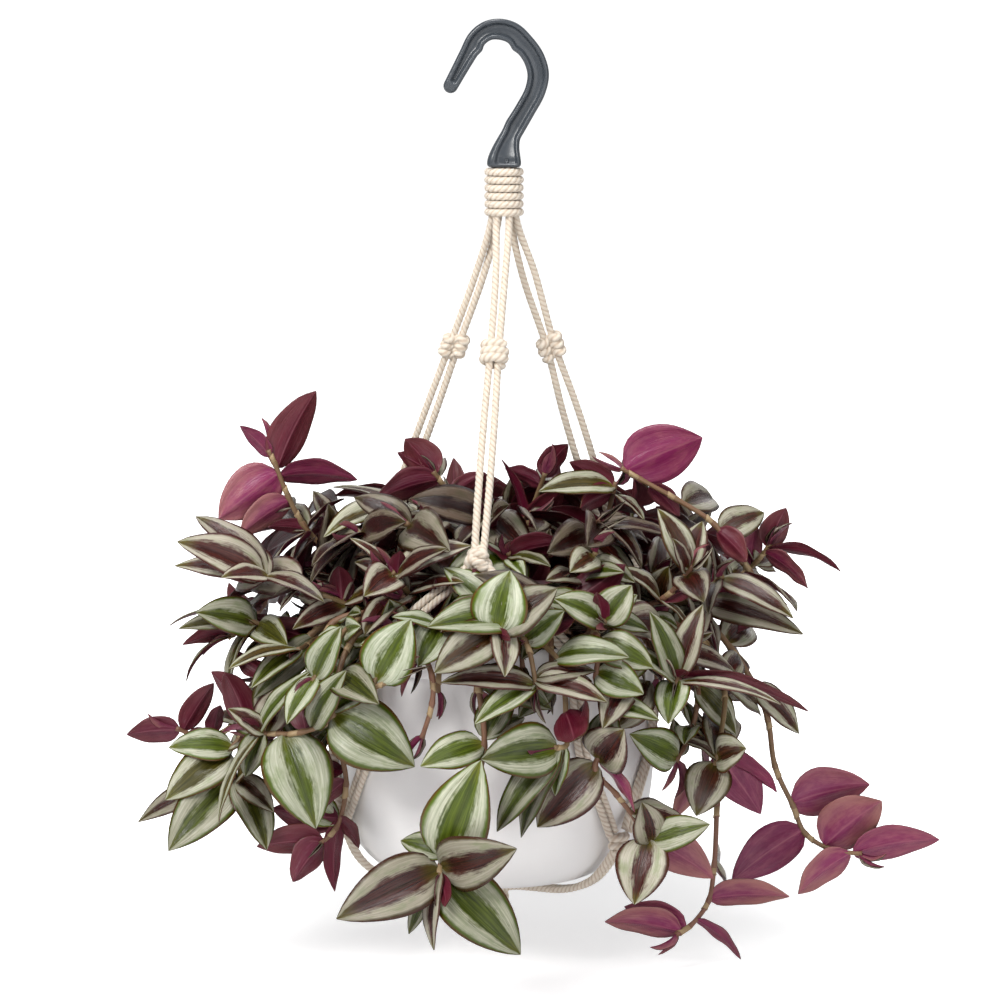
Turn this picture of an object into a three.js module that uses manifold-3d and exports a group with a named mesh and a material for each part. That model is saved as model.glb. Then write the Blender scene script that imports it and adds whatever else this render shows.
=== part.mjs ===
// Striped trailing plant in a bowl pot, hung in a knotted cord hanger from a plastic hook.
// Millimetres, +Z up, the front faces -Y. The origin is the top of the hook's inside, where the hook hangs.

import * as THREE from 'three';
import { mergeVertices } from 'three/addons/utils/BufferGeometryUtils.js';
import Module from 'manifold-3d';

const wasm = await Module();
wasm.setup();

// Driving dimensions

const GAP = 0.3;
const HANG_X = 2;
const POT_X = -2.5;

const HOOK_THICKNESS = 8;
const HOOK_RIM = 2.2;
const HOOK_WEB = 3.2;
const HOOK_TIP_RADIUS = 4;
const HOOK_FOOT_BOTTOM = -62;
const HOOK_FOOT_SIDES = 12;
const SOCKET_TOP = -57;
const SOCKET_SIDES = 12;

const CORD_RADIUS = 1.9;
const CORD_SIDES = 6;
const LEG_STEPS = 10;
const NET_STEPS = 11;
const UNDER_STEPS = 7;
const BUNDLE_RADIUS = 4.5;
const BUNDLE_TURN = 30;
const WRAP_TOP = -62.4;
const WRAP_TURNS = 6;
const WRAP_CORD = 4;
const WRAP_SEGMENTS = 10;
const WRAP_INNER = 7.2;
const WRAP_OUTER = 9.8;
const WRAP_GROOVE = 1.1;
const WRAP_BOTTOM = WRAP_TOP - WRAP_TURNS * WRAP_CORD;

const UPPER_KNOT_Z = -152;
const UPPER_KNOT_REACH = 28;
const RIM_KNOT_Z = -249;
const RIM_KNOT_REACH = 65;
const KNOT_WIDTH = 14.5;
const KNOT_LENGTH = 15;
const KNOT_SIDES = 6;
const KNOT_WAIST = 0.38;
const KNOT_LIP = 0.04;
const PAIR_SPREADS = { front: 2.6, right: 3.8, left: 2.6 };
const BELLY_SPREAD = 2.6;
const KNOT_SPREAD = 2.1;
const LEG_BELLY_Z = -115;
const LEG_BENDS_Z = [-185, -220];
// How much of the way from the hook's line to the pot's line the legs have come at the upper knots
const LEG_CENTRE_SHARE = 0.3;
const LEG_AZIMUTHS = { front: -97, right: 28, left: 148 };
const LOWER_KNOTS = {
  front_left: { azimuth: -157, z: -386, legs: ['front', 'left'] },
  front_right: { azimuth: -42, z: -391, legs: ['front', 'right'] },
  back: { azimuth: 85, z: -388, legs: ['right', 'left'] },
};
const LOWER_KNOT_LENGTH = 15;
const LOWER_KNOT_WIDTH = 11;
const LOWER_KNOT_REACH = 81.9;
const LOWER_KNOT_TAIL = 0.38;
const LOWER_KNOT_LEAN = 0.3;
const BOTTOM_KNOT_TOP = -421;
const BOTTOM_KNOT_LENGTH = 13;
const BOTTOM_KNOT_RADIUS = 7;
const TASSEL_LENGTH = 9;
const TASSEL_RADIUS = 5.4;
const TASSEL_NECK = 4.2;
const TASSEL_SIDES = 8;

const POT_RIM_TOP = -290;
const POT_BAND_BOTTOM = -304;
const POT_RIM_RADIUS = 85;
const POT_BODY_RADIUS = 80;
const POT_WALL = 2.4;
const POT_BOTTOM = -416.5;
const POT_FOOT_RADIUS = 38;
const DRAIN_HOLES = 4;
const DRAIN_RADIUS = 4;
const DRAIN_REACH = 22;
const SOIL_TOP = -300;
const POT_SEGMENTS = 20;
const SOIL_SEGMENTS = 16;
const SOIL_INSET = 1.1;
const SOIL_RADIUS = 77.4;

const STEM_SIDES = 3;
const ROOT_RADIUS = 2.1;
const TIP_RADIUS = 1.35;
const ROOT_DEPTH = 12;
const ROOT_RISE = 12;
const HOLE_SIDES = 4;
const HOLE_RADIUS = 3.4;
const HOLE_DEPTH = 13;
const HOLE_RISE = 6;
const CROWN_SIDES = 6;
const CROWN_RISE = 2;
const CROWN_RADIUS = 4.4;
const CROWN_HOLE_RADIUS = 5.2;
const BLADE = 1.8;
const CLEARANCE = 0.4;
const LEAF_SINK = 2.2;
const LEAF_STAGGER = 1.3;
const ROOT_OVERLAP = 6;
const LEAF_FOLD = 10;
const LEAF_DROOP = 34;
const LEAF_FULLNESS = 1.12;
const LONG_LEAF = 52;

// The viewing point from which the hand-placed stems are drawn
const VIEW_DISTANCE = 1800;
const VIEW_TILT = 7.5;
const VIEW_CENTRE_Z = -228;

const HOOK_COLOUR = 0x484d52;
const CORD_COLOUR = 0xe8dcc8;
const POT_COLOUR = 0xd8d8dc;
const SOIL_COLOUR = 0x2b211a;
const FRONT_PLANT_COLOUR = 0x6d7f52;
const BACK_PLANT_COLOUR = 0x6a4450;

const radians = THREE.MathUtils.degToRad;
const vector = (x, y, z) => new THREE.Vector3(x, y, z);

// Solids

function solidOf(geometry) {
  const bare = geometry.clone();
  for (const name of Object.keys(bare.attributes)) {
    if (name !== 'position') bare.deleteAttribute(name);
  }
  const merged = mergeVertices(bare, 1e-4);
  const index = merged.index.array;
  const triangles = [];
  for (let i = 0; i < index.length; i += 3) {
    const [a, b, c] = [index[i], index[i + 1], index[i + 2]];
    if (a !== b && b !== c && c !== a) triangles.push(a, b, c);
  }
  return new wasm.Manifold(new wasm.Mesh({
    numProp: 3,
    vertProperties: new Float32Array(merged.attributes.position.array),
    triVerts: new Uint32Array(triangles),
  }));
}

function meshOf(name, solid, material) {
  const { vertProperties, triVerts } = solid.getMesh();
  const geometry = new THREE.BufferGeometry();
  geometry.setAttribute('position', new THREE.BufferAttribute(vertProperties, 3));
  geometry.setIndex(new THREE.BufferAttribute(triVerts, 1));
  geometry.computeVertexNormals();
  const mesh = new THREE.Mesh(geometry, material);
  mesh.name = name;
  return mesh;
}

function join(solids) {
  return solids.reduce((sum, solid) => sum.add(solid));
}

// Joins rings of points into one closed solid. An end is a ring, closed by a flat cap, or a single point.
function loft(rings) {
  const positions = [];
  const triangle = (a, b, c) => positions.push(...a.toArray(), ...b.toArray(), ...c.toArray());
  const band = (lower, upper) => {
    const count = Math.max(lower.length, upper.length);
    for (let i = 0; i < count; i += 1) {
      const j = (i + 1) % count;
      if (lower.length === 1) {
        triangle(lower[0], upper[j], upper[i]);
      } else if (upper.length === 1) {
        triangle(lower[i], lower[j], upper[0]);
      } else {
        triangle(lower[i], lower[j], upper[j]);
        triangle(lower[i], upper[j], upper[i]);
      }
    }
  };
  const cap = (ring, flip) => {
    for (let i = 1; i < ring.length - 1; i += 1) {
      if (flip) triangle(ring[0], ring[i + 1], ring[i]);
      else triangle(ring[0], ring[i], ring[i + 1]);
    }
  };
  for (let i = 0; i < rings.length - 1; i += 1) band(rings[i], rings[i + 1]);
  cap(rings[0], true);
  cap(rings[rings.length - 1], false);
  if (signedVolume(positions) < 0) turnInsideOut(positions);
  const geometry = new THREE.BufferGeometry();
  geometry.setAttribute('position', new THREE.Float32BufferAttribute(positions, 3));
  return solidOf(geometry);
}

function signedVolume(positions) {
  let sum = 0;
  for (let i = 0; i < positions.length; i += 9) {
    const [a, b, c] = [0, 3, 6].map((k) => vector(...positions.slice(i + k, i + k + 3)));
    sum += a.dot(b.cross(c));
  }
  return sum;
}

function turnInsideOut(positions) {
  for (let i = 0; i < positions.length; i += 9) {
    const second = positions.slice(i + 3, i + 6);
    for (let k = 0; k < 3; k += 1) {
      positions[i + 3 + k] = positions[i + 6 + k];
      positions[i + 6 + k] = second[k];
    }
  }
}

function lathe(profile, segments) {
  const points = profile.map(([radius, height]) => new THREE.Vector2(radius, height));
  const geometry = new THREE.LatheGeometry(points, segments);
  geometry.rotateX(Math.PI / 2);
  return solidOf(geometry);
}

function prism(radius, sides, low, high, x, y) {
  const geometry = new THREE.CylinderGeometry(radius, radius, high - low, sides);
  geometry.rotateX(Math.PI / 2);
  geometry.translate(x, y, (low + high) / 2);
  return solidOf(geometry);
}

function cord(points, radius, steps) {
  const section = new THREE.Shape();
  for (let i = 0; i < CORD_SIDES; i += 1) {
    const turn = (i / CORD_SIDES) * Math.PI * 2;
    const x = Math.cos(turn) * radius;
    const y = Math.sin(turn) * radius;
    if (i === 0) section.moveTo(x, y);
    else section.lineTo(x, y);
  }
  const extrudePath = new THREE.CatmullRomCurve3(points, false, 'centripetal');
  return solidOf(new THREE.ExtrudeGeometry(section, { steps, extrudePath, bevelEnabled: false }));
}

// Two cords that lie side by side, as one band grooved along its middle.
// Its section is given across the band and outward, in cord radii.
const PAIR_SECTION = [
  [2.05, 0], [1.15, 0.95], [0, 0.72], [-1.15, 0.95], [-2.05, 0], [-1.15, -0.95], [0, -0.72], [1.15, -0.95],
];

function cordPair(route, steps, acrossAt, growth = 0) {
  const middle = new THREE.CatmullRomCurve3(route, false, 'centripetal').getPoints(steps);
  const rings = middle.map((point, i) => {
    const before = middle[Math.max(0, i - 1)];
    const after = middle[Math.min(steps, i + 1)];
    const along = after.clone().sub(before).normalize();
    const across = acrossAt(point, along);
    const outward = across.clone().cross(along).normalize();
    const end = i === steps ? growth : 0;
    const shift = i === 0 ? -growth : end;
    return PAIR_SECTION.map(([a, b]) => point.clone()
      .addScaledVector(across, a * CORD_RADIUS + Math.sign(a) * growth)
      .addScaledVector(outward, b * CORD_RADIUS + Math.sign(b) * growth)
      .addScaledVector(along, shift));
  });
  return loft(rings);
}

// Hook

// Centreline of the hook from its tip to its foot, with half the band's width
const HOOK_LINE = [
  [-24.3, -22.3, 3.6], [-20.2, -14.8, 3.9], [-15.9, -7.1, 4.3], [-11.4, 0.7, 4.7], [-6, 4.7, 4.9],
  [0, 5.4, 5.2], [6, 3.6, 5.3], [11.6, -1.6, 5.3], [16.6, -8.6, 5.3], [18.8, -16.6, 5.3],
  [17.2, -25, 5.1], [12.4, -34, 5], [7.6, -42, 5.2], [6.2, -44.4, 5.2],
];
const HOOK_STEPS = 13;
const HOOK_CHANNEL = [0.06, 0.96];
// Sections of the flared foot: its left and right edge in the front view, and half its depth
const HOOK_FOOT = [
  [2.6, -40.4, 11.4, -44.4, 3.9], [-1.6, -48.4, 9.7, -49.6, 5.2], [-4.4, -53.2, 9.6, -53.2, 6.8],
  [-6.4, -59.6, 10.4, -59.6, 8], [-5.6, HOOK_FOOT_BOTTOM, 9.8, HOOK_FOOT_BOTTOM, 7.4],
];

function hookBand(start, end, inset, low, high) {
  const line = HOOK_LINE.map(([x, z, half]) => vector(x, z, half));
  const curve = new THREE.CatmullRomCurve3(line, false, 'centripetal');
  const sides = { left: [], right: [] };
  for (let i = 0; i <= HOOK_STEPS; i += 1) {
    const place = start + (end - start) * (i / HOOK_STEPS);
    const point = curve.getPoint(place);
    const along = curve.getTangent(place).setZ(0).normalize();
    const half = point.z - inset;
    sides.left.push(new THREE.Vector2(point.x - along.y * half, point.y + along.x * half));
    sides.right.unshift(new THREE.Vector2(point.x + along.y * half, point.y - along.x * half));
  }
  const outline = new THREE.Shape([...sides.left, ...sides.right]);
  const geometry = new THREE.ExtrudeGeometry(outline, { depth: high - low, bevelEnabled: false });
  geometry.rotateX(Math.PI / 2);
  geometry.translate(0, high, 0);
  return solidOf(geometry);
}

function footRing([leftX, leftZ, rightX, rightZ, depth]) {
  const middle = vector((leftX + rightX) / 2, 0, (leftZ + rightZ) / 2);
  const across = vector((rightX - leftX) / 2, 0, (rightZ - leftZ) / 2);
  const corner = (value) => Math.sign(value) * Math.abs(value) ** 0.6;
  return Array.from({ length: HOOK_FOOT_SIDES }, (_, i) => {
    const turn = ((i + 0.5) / HOOK_FOOT_SIDES) * Math.PI * 2;
    return middle.clone()
      .addScaledVector(across, corner(Math.cos(turn)))
      .add(vector(0, corner(Math.sin(turn)) * depth, 0));
  });
}

function hook() {
  const half = HOOK_THICKNESS / 2;
  const band = hookBand(0, 1, 0, -half, half);
  const channels = [[-half - 1, -HOOK_WEB / 2], [HOOK_WEB / 2, half + 1]];
  const cuts = channels.map(([low, high]) => hookBand(...HOOK_CHANNEL, HOOK_RIM, low, high));
  const tip = new THREE.SphereGeometry(HOOK_TIP_RADIUS, 8, 6);
  tip.translate(HOOK_LINE[0][0], 0, HOOK_LINE[0][1]);
  const foot = loft(HOOK_FOOT.map(footRing));
  const body = cuts.reduce((sum, cut) => sum.subtract(cut), band).add(solidOf(tip)).add(foot);
  const bundle = BUNDLE_RADIUS + CORD_RADIUS + GAP;
  return body.subtract(prism(bundle, SOCKET_SIDES, HOOK_FOOT_BOTTOM - 1, SOCKET_TOP, HANG_X, 0));
}

// Cords

function polar(centreX, azimuth, radius, z) {
  const turn = radians(azimuth);
  return vector(centreX + Math.cos(turn) * radius, Math.sin(turn) * radius, z);
}

function gatheringWrap() {
  const profile = [[WRAP_INNER, WRAP_TOP], [WRAP_INNER, WRAP_BOTTOM]];
  for (let turn = WRAP_TURNS - 1; turn >= 0; turn -= 1) {
    const bottom = WRAP_TOP - (turn + 1) * WRAP_CORD;
    profile.push([WRAP_OUTER - WRAP_GROOVE, bottom + 0.15]);
    profile.push([WRAP_OUTER, bottom + WRAP_CORD / 2]);
  }
  profile.push([WRAP_OUTER - WRAP_GROOVE, WRAP_TOP]);
  profile.push([WRAP_INNER, WRAP_TOP]);
  const ring = lathe(profile, WRAP_SEGMENTS);
  return ring.translate([HANG_X, 0, 0]);
}

// A knot is a bead of swelling turns round its cords
function knot(centre, along, length, width, turns) {
  const profile = [[0, -length / 2]];
  for (let turn = 0; turn < turns; turn += 1) {
    const low = -length / 2 + (turn * length) / turns;
    const step = length / turns;
    profile.push([width * KNOT_WAIST, low + step * KNOT_LIP]);
    profile.push([width * 0.5, low + step * 0.5]);
  }
  profile.push([width * KNOT_WAIST, length / 2 - (length / turns) * KNOT_LIP]);
  profile.push([0, length / 2]);
  const points = profile.map(([radius, height]) => new THREE.Vector2(radius, height));
  const geometry = new THREE.LatheGeometry(points, KNOT_SIDES);
  const turn = new THREE.Quaternion().setFromUnitVectors(vector(0, 1, 0), along.clone().normalize());
  geometry.applyQuaternion(turn);
  geometry.translate(centre.x, centre.y, centre.z);
  return solidOf(geometry);
}

function legPoint(azimuth, z) {
  const fall = (UPPER_KNOT_Z - z) / (UPPER_KNOT_Z - RIM_KNOT_Z);
  const radius = UPPER_KNOT_REACH + (RIM_KNOT_REACH - UPPER_KNOT_REACH) * fall;
  const centring = LEG_CENTRE_SHARE + (1 - LEG_CENTRE_SHARE) * fall;
  const centreX = HANG_X + (POT_X - HANG_X) * Math.min(1, Math.max(0, centring));
  return polar(centreX, azimuth, radius, z);
}

// The two cords of a leg lie side by side as seen from the front
function legAcross(azimuth, amount) {
  const along = legPoint(azimuth, LEG_BENDS_Z[1]).sub(legPoint(azimuth, LEG_BENDS_Z[0]));
  return vector(-along.z, 0, along.x).normalize().multiplyScalar(amount);
}

function sideways(azimuth, amount) {
  return polar(0, azimuth + 90, amount, 0);
}

function leg(name) {
  const azimuth = LEG_AZIMUTHS[name];
  const upper = legPoint(azimuth, UPPER_KNOT_Z);
  const rim = legPoint(azimuth, RIM_KNOT_Z);
  const strands = [-1, 1].map((side) => {
    const top = polar(HANG_X, azimuth + side * BUNDLE_TURN, BUNDLE_RADIUS, 0);
    const turned = Math.sin(radians(azimuth)) > 0 ? -side : side;
    const shift = legAcross(azimuth, turned * PAIR_SPREADS[name]);
    const close = legAcross(azimuth, turned * KNOT_SPREAD);
    const points = [
      vector(top.x, top.y, SOCKET_TOP - GAP),
      vector(top.x, top.y, WRAP_TOP - 8),
      vector(top.x, top.y, WRAP_BOTTOM - 5),
      legPoint(azimuth, LEG_BELLY_Z).add(legAcross(azimuth, turned * BELLY_SPREAD)),
      upper.clone().add(close),
      legPoint(azimuth, LEG_BENDS_Z[0]).add(shift),
      legPoint(azimuth, LEG_BENDS_Z[1]).add(shift),
      rim.clone().add(close),
    ];
    return cord(points, CORD_RADIUS, LEG_STEPS);
  });
  const along = legPoint(azimuth, LEG_BENDS_Z[0]).sub(legPoint(azimuth, LEG_BENDS_Z[1]));
  const upperKnot = knot(upper, along, KNOT_LENGTH, KNOT_WIDTH, 3);
  const rimKnot = knot(rim, along, KNOT_LENGTH, KNOT_WIDTH + 1, 2);
  const solid = join([...strands, upperKnot, rimKnot]);
  return netCords.filter((net) => net.leg === name).reduce((sum, net) => sum.subtract(net.socket), solid);
}

// Routes of the doubled cords over the rim and down the pot: share of the way round to the lower knot,
// distance from the pot's axis, height
const NET_ROUTE = [
  [0.04, 66.5, -252.5], [0.2, 72.5, -262], [0.38, 79.4, -275], [0.5, 84.6, -284], [0.57, 87.3, -291],
  [0.6, 87.4, -298], [0.62, 86.4, -307], [0.65, 83.6, -326], [0.71, 82.6, -348], [0.83, 81.8, -366],
];
const NET_END = 0.94;

function sweepBetween(from, to) {
  const sweep = to - from;
  if (sweep > 180) return sweep - 360;
  return sweep < -180 ? sweep + 360 : sweep;
}

function netRoute(legAzimuth, lowerKnot) {
  const sweep = sweepBetween(legAzimuth, lowerKnot.azimuth);
  const end = [NET_END, LOWER_KNOT_REACH, lowerKnot.z + LOWER_KNOT_LENGTH * LOWER_KNOT_TAIL];
  return [...NET_ROUTE, end].map(([share, radius, z]) => polar(POT_X, legAzimuth + sweep * share, radius, z));
}

function acrossPotSide(point, along) {
  return along.clone().cross(vector(point.x - POT_X, point.y, 0)).normalize();
}

function makeNetCords() {
  const cords = [];
  for (const [lower, lowerKnot] of Object.entries(LOWER_KNOTS)) {
    for (const name of lowerKnot.legs) {
      const route = netRoute(LEG_AZIMUTHS[name], lowerKnot);
      cords.push({
        name: `net_cord_${lower}_from_${name}_leg`,
        leg: name,
        lower,
        solid: cordPair(route, NET_STEPS, acrossPotSide),
        socket: cordPair(route, NET_STEPS, acrossPotSide, GAP),
      });
    }
  }
  return cords;
}

function lowerKnotPoint(lowerKnot) {
  return polar(POT_X, lowerKnot.azimuth, LOWER_KNOT_REACH, lowerKnot.z);
}

// Route of the doubled cord from a lower knot to the bottom knot: distance from the pot's axis, height.
// It starts a little inside and below the knot's middle.
const UNDER_START = [-1.2, -3];
const UNDER_ROUTE = [
  [74.4, -402.5], [66.8, -410.6], [56, -416.6], [44, -419.8], [30, -421.2], [14, -423], [4.6, -426],
];

function underRoute(lowerKnot) {
  const start = [LOWER_KNOT_REACH + UNDER_START[0], lowerKnot.z + UNDER_START[1]];
  return [start, ...UNDER_ROUTE].map(([radius, z]) => polar(POT_X, lowerKnot.azimuth, radius, z));
}

// A lower knot with its doubled cord, which runs under the pot to the bottom knot
function lowerCord(name) {
  const lowerKnot = LOWER_KNOTS[name];
  const { azimuth } = lowerKnot;
  const pair = cordPair(underRoute(lowerKnot), UNDER_STEPS, () => sideways(azimuth, 1));
  const along = polar(0, azimuth, LOWER_KNOT_LEAN, 1);
  const bead = knot(lowerKnotPoint(lowerKnot), along, LOWER_KNOT_LENGTH, LOWER_KNOT_WIDTH, 2);
  const solid = pair.add(bead);
  return netCords.filter((net) => net.lower === name).reduce((sum, net) => sum.subtract(net.socket), solid);
}

function bottomKnot(lowerKnots) {
  const centre = vector(POT_X, 0, BOTTOM_KNOT_TOP - BOTTOM_KNOT_LENGTH / 2);
  const bead = knot(centre, vector(0, 0, 1), BOTTOM_KNOT_LENGTH, BOTTOM_KNOT_RADIUS * 2, 2);
  const low = BOTTOM_KNOT_TOP - BOTTOM_KNOT_LENGTH;
  const foot = low - TASSEL_LENGTH;
  const profile = [[0, foot], [TASSEL_RADIUS, foot], [TASSEL_NECK, low + 2], [0, low + 2]];
  const tassel = lathe(profile, TASSEL_SIDES).translate([POT_X, 0, 0]);
  const solid = bead.add(tassel);
  return Object.values(lowerKnots).reduce((sum, lowerKnot) => {
    const across = () => sideways(lowerKnot.azimuth, 1);
    return sum.subtract(cordPair(underRoute(lowerKnot), UNDER_STEPS, across, GAP));
  }, solid);
}

// Pot and soil

// Outside of the pot from the foot to the rim
const POT_OUTSIDE = [
  [POT_FOOT_RADIUS, POT_BOTTOM], [52, -414], [64, -406.6], [72.4, -395.4], [77.6, -380],
  [POT_BODY_RADIUS, -358], [POT_BODY_RADIUS + 0.6, POT_BAND_BOTTOM - 1.6],
  [POT_RIM_RADIUS - 0.5, POT_BAND_BOTTOM], [POT_RIM_RADIUS, POT_RIM_TOP - 2.2],
  [POT_RIM_RADIUS - 1.4, POT_RIM_TOP],
];
// Inside of the pot from the rim to the floor
const POT_INSIDE = [
  [81.6, POT_RIM_TOP], [78.2, POT_BAND_BOTTOM - 2], [77.5, -358], [73.2, -386],
  [62.4, -404.4], [POT_FOOT_RADIUS, POT_BOTTOM + POT_WALL],
];

function pot() {
  const profile = [[0, POT_BOTTOM], ...POT_OUTSIDE, ...POT_INSIDE, [0, POT_BOTTOM + POT_WALL]];
  let solid = lathe(profile, POT_SEGMENTS);
  for (let i = 0; i < DRAIN_HOLES; i += 1) {
    const { x, y } = polar(0, 45 + (i * 360) / DRAIN_HOLES, DRAIN_REACH, 0);
    solid = solid.subtract(prism(DRAIN_RADIUS, 6, POT_BOTTOM - 1, POT_BOTTOM + POT_WALL + 1, x, y));
  }
  return solid.translate([POT_X, 0, 0]);
}

function soil(holes) {
  const side = POT_INSIDE.filter(([, height]) => height < SOIL_TOP - 1).reverse();
  const wall = side.map(([radius, height]) => [radius - SOIL_INSET, height + GAP]);
  const top = [[SOIL_RADIUS, SOIL_TOP], [0, SOIL_TOP]];
  const body = lathe([[0, wall[0][1]], ...wall, ...top], SOIL_SEGMENTS).translate([POT_X, 0, 0]);
  return holes.reduce((sum, hole) => sum.subtract(hole), body);
}

// Leaves and stems

// Turns a point drawn in the front view (x, height, true depth) into its place
function fromFront([x, height, depth]) {
  const tilt = radians(VIEW_TILT);
  const drawn = height - VIEW_CENTRE_Z;
  const reach = VIEW_DISTANCE + depth * Math.cos(tilt);
  const rise = (drawn * reach - depth * Math.sin(tilt) * VIEW_DISTANCE)
    / (Math.cos(tilt) * VIEW_DISTANCE + drawn * Math.sin(tilt));
  const distance = reach - rise * Math.sin(tilt);
  return vector((x * distance) / VIEW_DISTANCE, depth, VIEW_CENTRE_Z + rise);
}

// The middle line of a leaf bends evenly away from its upper side by the droop angle
function leafFrame(leaf, share) {
  const bend = radians(leaf.droop) * share;
  const whole = radians(leaf.droop);
  const forward = Math.sin(bend) / whole;
  const down = (1 - Math.cos(bend)) / whole;
  const middle = leaf.base.clone()
    .addScaledVector(leaf.direction, leaf.length * forward)
    .addScaledVector(leaf.up, -leaf.length * down);
  const leaning = leaf.direction.clone().multiplyScalar(Math.sin(bend));
  const normal = leaning.addScaledVector(leaf.up, Math.cos(bend));
  const side = leaf.direction.clone().cross(leaf.up);
  return { middle, normal, side };
}

function leafHalfWidth(leaf, share) {
  return leaf.width * 0.5 * leafOutline(share);
}

// Widest a third of the way along, drawn out to a point
function leafOutline(share) {
  const rise = share ** 0.55;
  const fall = (1 - share) ** 0.9;
  return (rise * fall) / LEAF_WIDEST;
}
const LEAF_WIDEST = (0.55 / 1.45) ** 0.55 * (0.9 / 1.45) ** 0.9;

function leafStations(leaf) {
  return leaf.length > LONG_LEAF ? [0.12, 0.4, 0.74] : [0.24, 0.66];
}

// A leaf's section is a shallow trough: its two edges and the keel of its midrib
function leafRing(leaf, share, growth) {
  const { middle, normal, side } = leafFrame(leaf, share);
  const half = leafHalfWidth(leaf, share) + growth;
  const fold = radians(LEAF_FOLD);
  const edge = (sign) => middle.clone()
    .addScaledVector(side, sign * half * Math.cos(fold))
    .addScaledVector(normal, half * Math.sin(fold) - BLADE / 2 + growth);
  const keel = middle.clone().addScaledVector(normal, -BLADE / 2 - growth);
  return [edge(1), edge(-1), keel];
}

function leafSolid(leaf, growth = 0) {
  const rings = leafStations(leaf).map((share) => leafRing(leaf, share, growth));
  return loft([[leaf.base], ...rings, [leafFrame(leaf, 1).middle]]);
}

// A leaf given by its two ends, its width, and how far its upper side is turned from the viewer
function handLeaf(base, [, x, height, depth, width, face, droop = LEAF_DROOP]) {
  const tip = fromFront([x, height, depth]);
  const chord = tip.clone().sub(base);
  const reach = chord.length();
  chord.normalize();
  const viewer = vector(0, -Math.cos(radians(VIEW_TILT)), Math.sin(radians(VIEW_TILT)));
  const facing = viewer.clone().addScaledVector(chord, -viewer.dot(chord)).normalize();
  const across = chord.clone().cross(facing);
  if (across.z < 0) across.negate();
  const roll = radians(face);
  const upper = facing.multiplyScalar(Math.cos(roll)).addScaledVector(across, Math.sin(roll));
  return arch(base, chord, upper, reach, width * LEAF_FULLNESS, droop);
}

// Starts a leaf half its droop above its chord, so that it ends at the chord's far end
function arch(base, chord, upper, reach, width, droop) {
  const half = radians(droop) / 2;
  const direction = chord.clone().multiplyScalar(Math.cos(half)).addScaledVector(upper, Math.sin(half));
  const up = upper.clone().multiplyScalar(Math.cos(half)).addScaledVector(chord, -Math.sin(half));
  return { base: base.clone(), direction, up, length: (reach * half) / Math.sin(half), width, droop };
}

const RULE_LEAF = 42;
const RULE_LEAF_WIDTH = 0.55;
// Least and further part of a leaf's upward share, its share outward, and the same for size and droop
const RULE_UPWARD = [0.5, 0.6];
const RULE_OUTWARD = 0.75;
const RULE_SIZES = [0.84, 0.28];
const RULE_DROOPS = [22, 30];
const RULE_SWING = 30;
const RULE_LIFT = 40;
const RULE_LOWERED = 0.3;

// A leaf placed by rule lies like a scale on the mass: it faces up and outward, and points
// down the slope, turned to one side by the given angle
function ruleLeaf(base, turn, size, random) {
  const outward = vector(base.x - POT_X, base.y, 0).normalize();
  const upward = vector(0, 0, RULE_UPWARD[0] + random() * RULE_UPWARD[1]);
  const facing = upward.addScaledVector(outward, RULE_OUTWARD).normalize();
  const downhill = vector(0, 0, -1).addScaledVector(facing, facing.z).normalize();
  const across = facing.clone().cross(downhill);
  const swing = radians(turn + (random() - 0.5) * RULE_SWING);
  const lift = radians((random() - RULE_LOWERED) * RULE_LIFT);
  const level = downhill.multiplyScalar(Math.cos(swing)).addScaledVector(across, Math.sin(swing));
  const chord = level.clone().multiplyScalar(Math.cos(lift)).addScaledVector(facing, Math.sin(lift));
  const upper = facing.multiplyScalar(Math.cos(lift)).addScaledVector(level, -Math.sin(lift));
  const reach = size * (RULE_SIZES[0] + random() * RULE_SIZES[1]);
  const droop = RULE_DROOPS[0] + random() * RULE_DROOPS[1];
  return arch(base, chord, upper, reach, reach * RULE_LEAF_WIDTH, droop);
}

// Ways to bend a leaf clear of its neighbours, tried in turn: swing, lift and roll in degrees, length
const LEAF_BENDS = [
  [0, 0, 0, 1], [6, 3, 8, 1], [-6, 3, -8, 1], [3, 10, 0, 1], [3, -10, 0, 1], [14, 4, 12, 1],
  [-14, 4, -12, 1], [10, 14, -14, 0.96], [-10, 14, 14, 0.96], [12, -14, 20, 0.96],
  [-12, -14, -20, 0.96], [2, 24, 0, 0.92], [2, -24, 0, 0.92], [26, 8, 26, 0.9], [-26, 8, -26, 0.9],
  [22, -20, 30, 0.88], [-22, -20, -30, 0.88], [5, 38, 0, 0.84], [5, -38, 0, 0.84],
  [38, 16, 34, 0.8], [-38, 16, -34, 0.8], [30, -34, 0, 0.74], [-30, -34, 0, 0.74],
  [0, 20, 60, 0.7], [0, 20, -60, 0.7], [0, 56, 0, 0.66], [48, 0, 0, 0.6], [-48, 0, 0, 0.6],
];

function bentLeaf(leaf, [swing, lift, roll, scale]) {
  const side = leaf.direction.clone().cross(leaf.up);
  const turn = new THREE.Quaternion().setFromAxisAngle(leaf.up, radians(swing));
  turn.premultiply(new THREE.Quaternion().setFromAxisAngle(side, radians(lift)));
  const direction = leaf.direction.clone().applyQuaternion(turn);
  turn.premultiply(new THREE.Quaternion().setFromAxisAngle(direction, radians(roll)));
  const up = leaf.up.clone().applyQuaternion(turn);
  return { ...leaf, direction, up, length: leaf.length * scale, width: leaf.width * scale };
}

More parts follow.
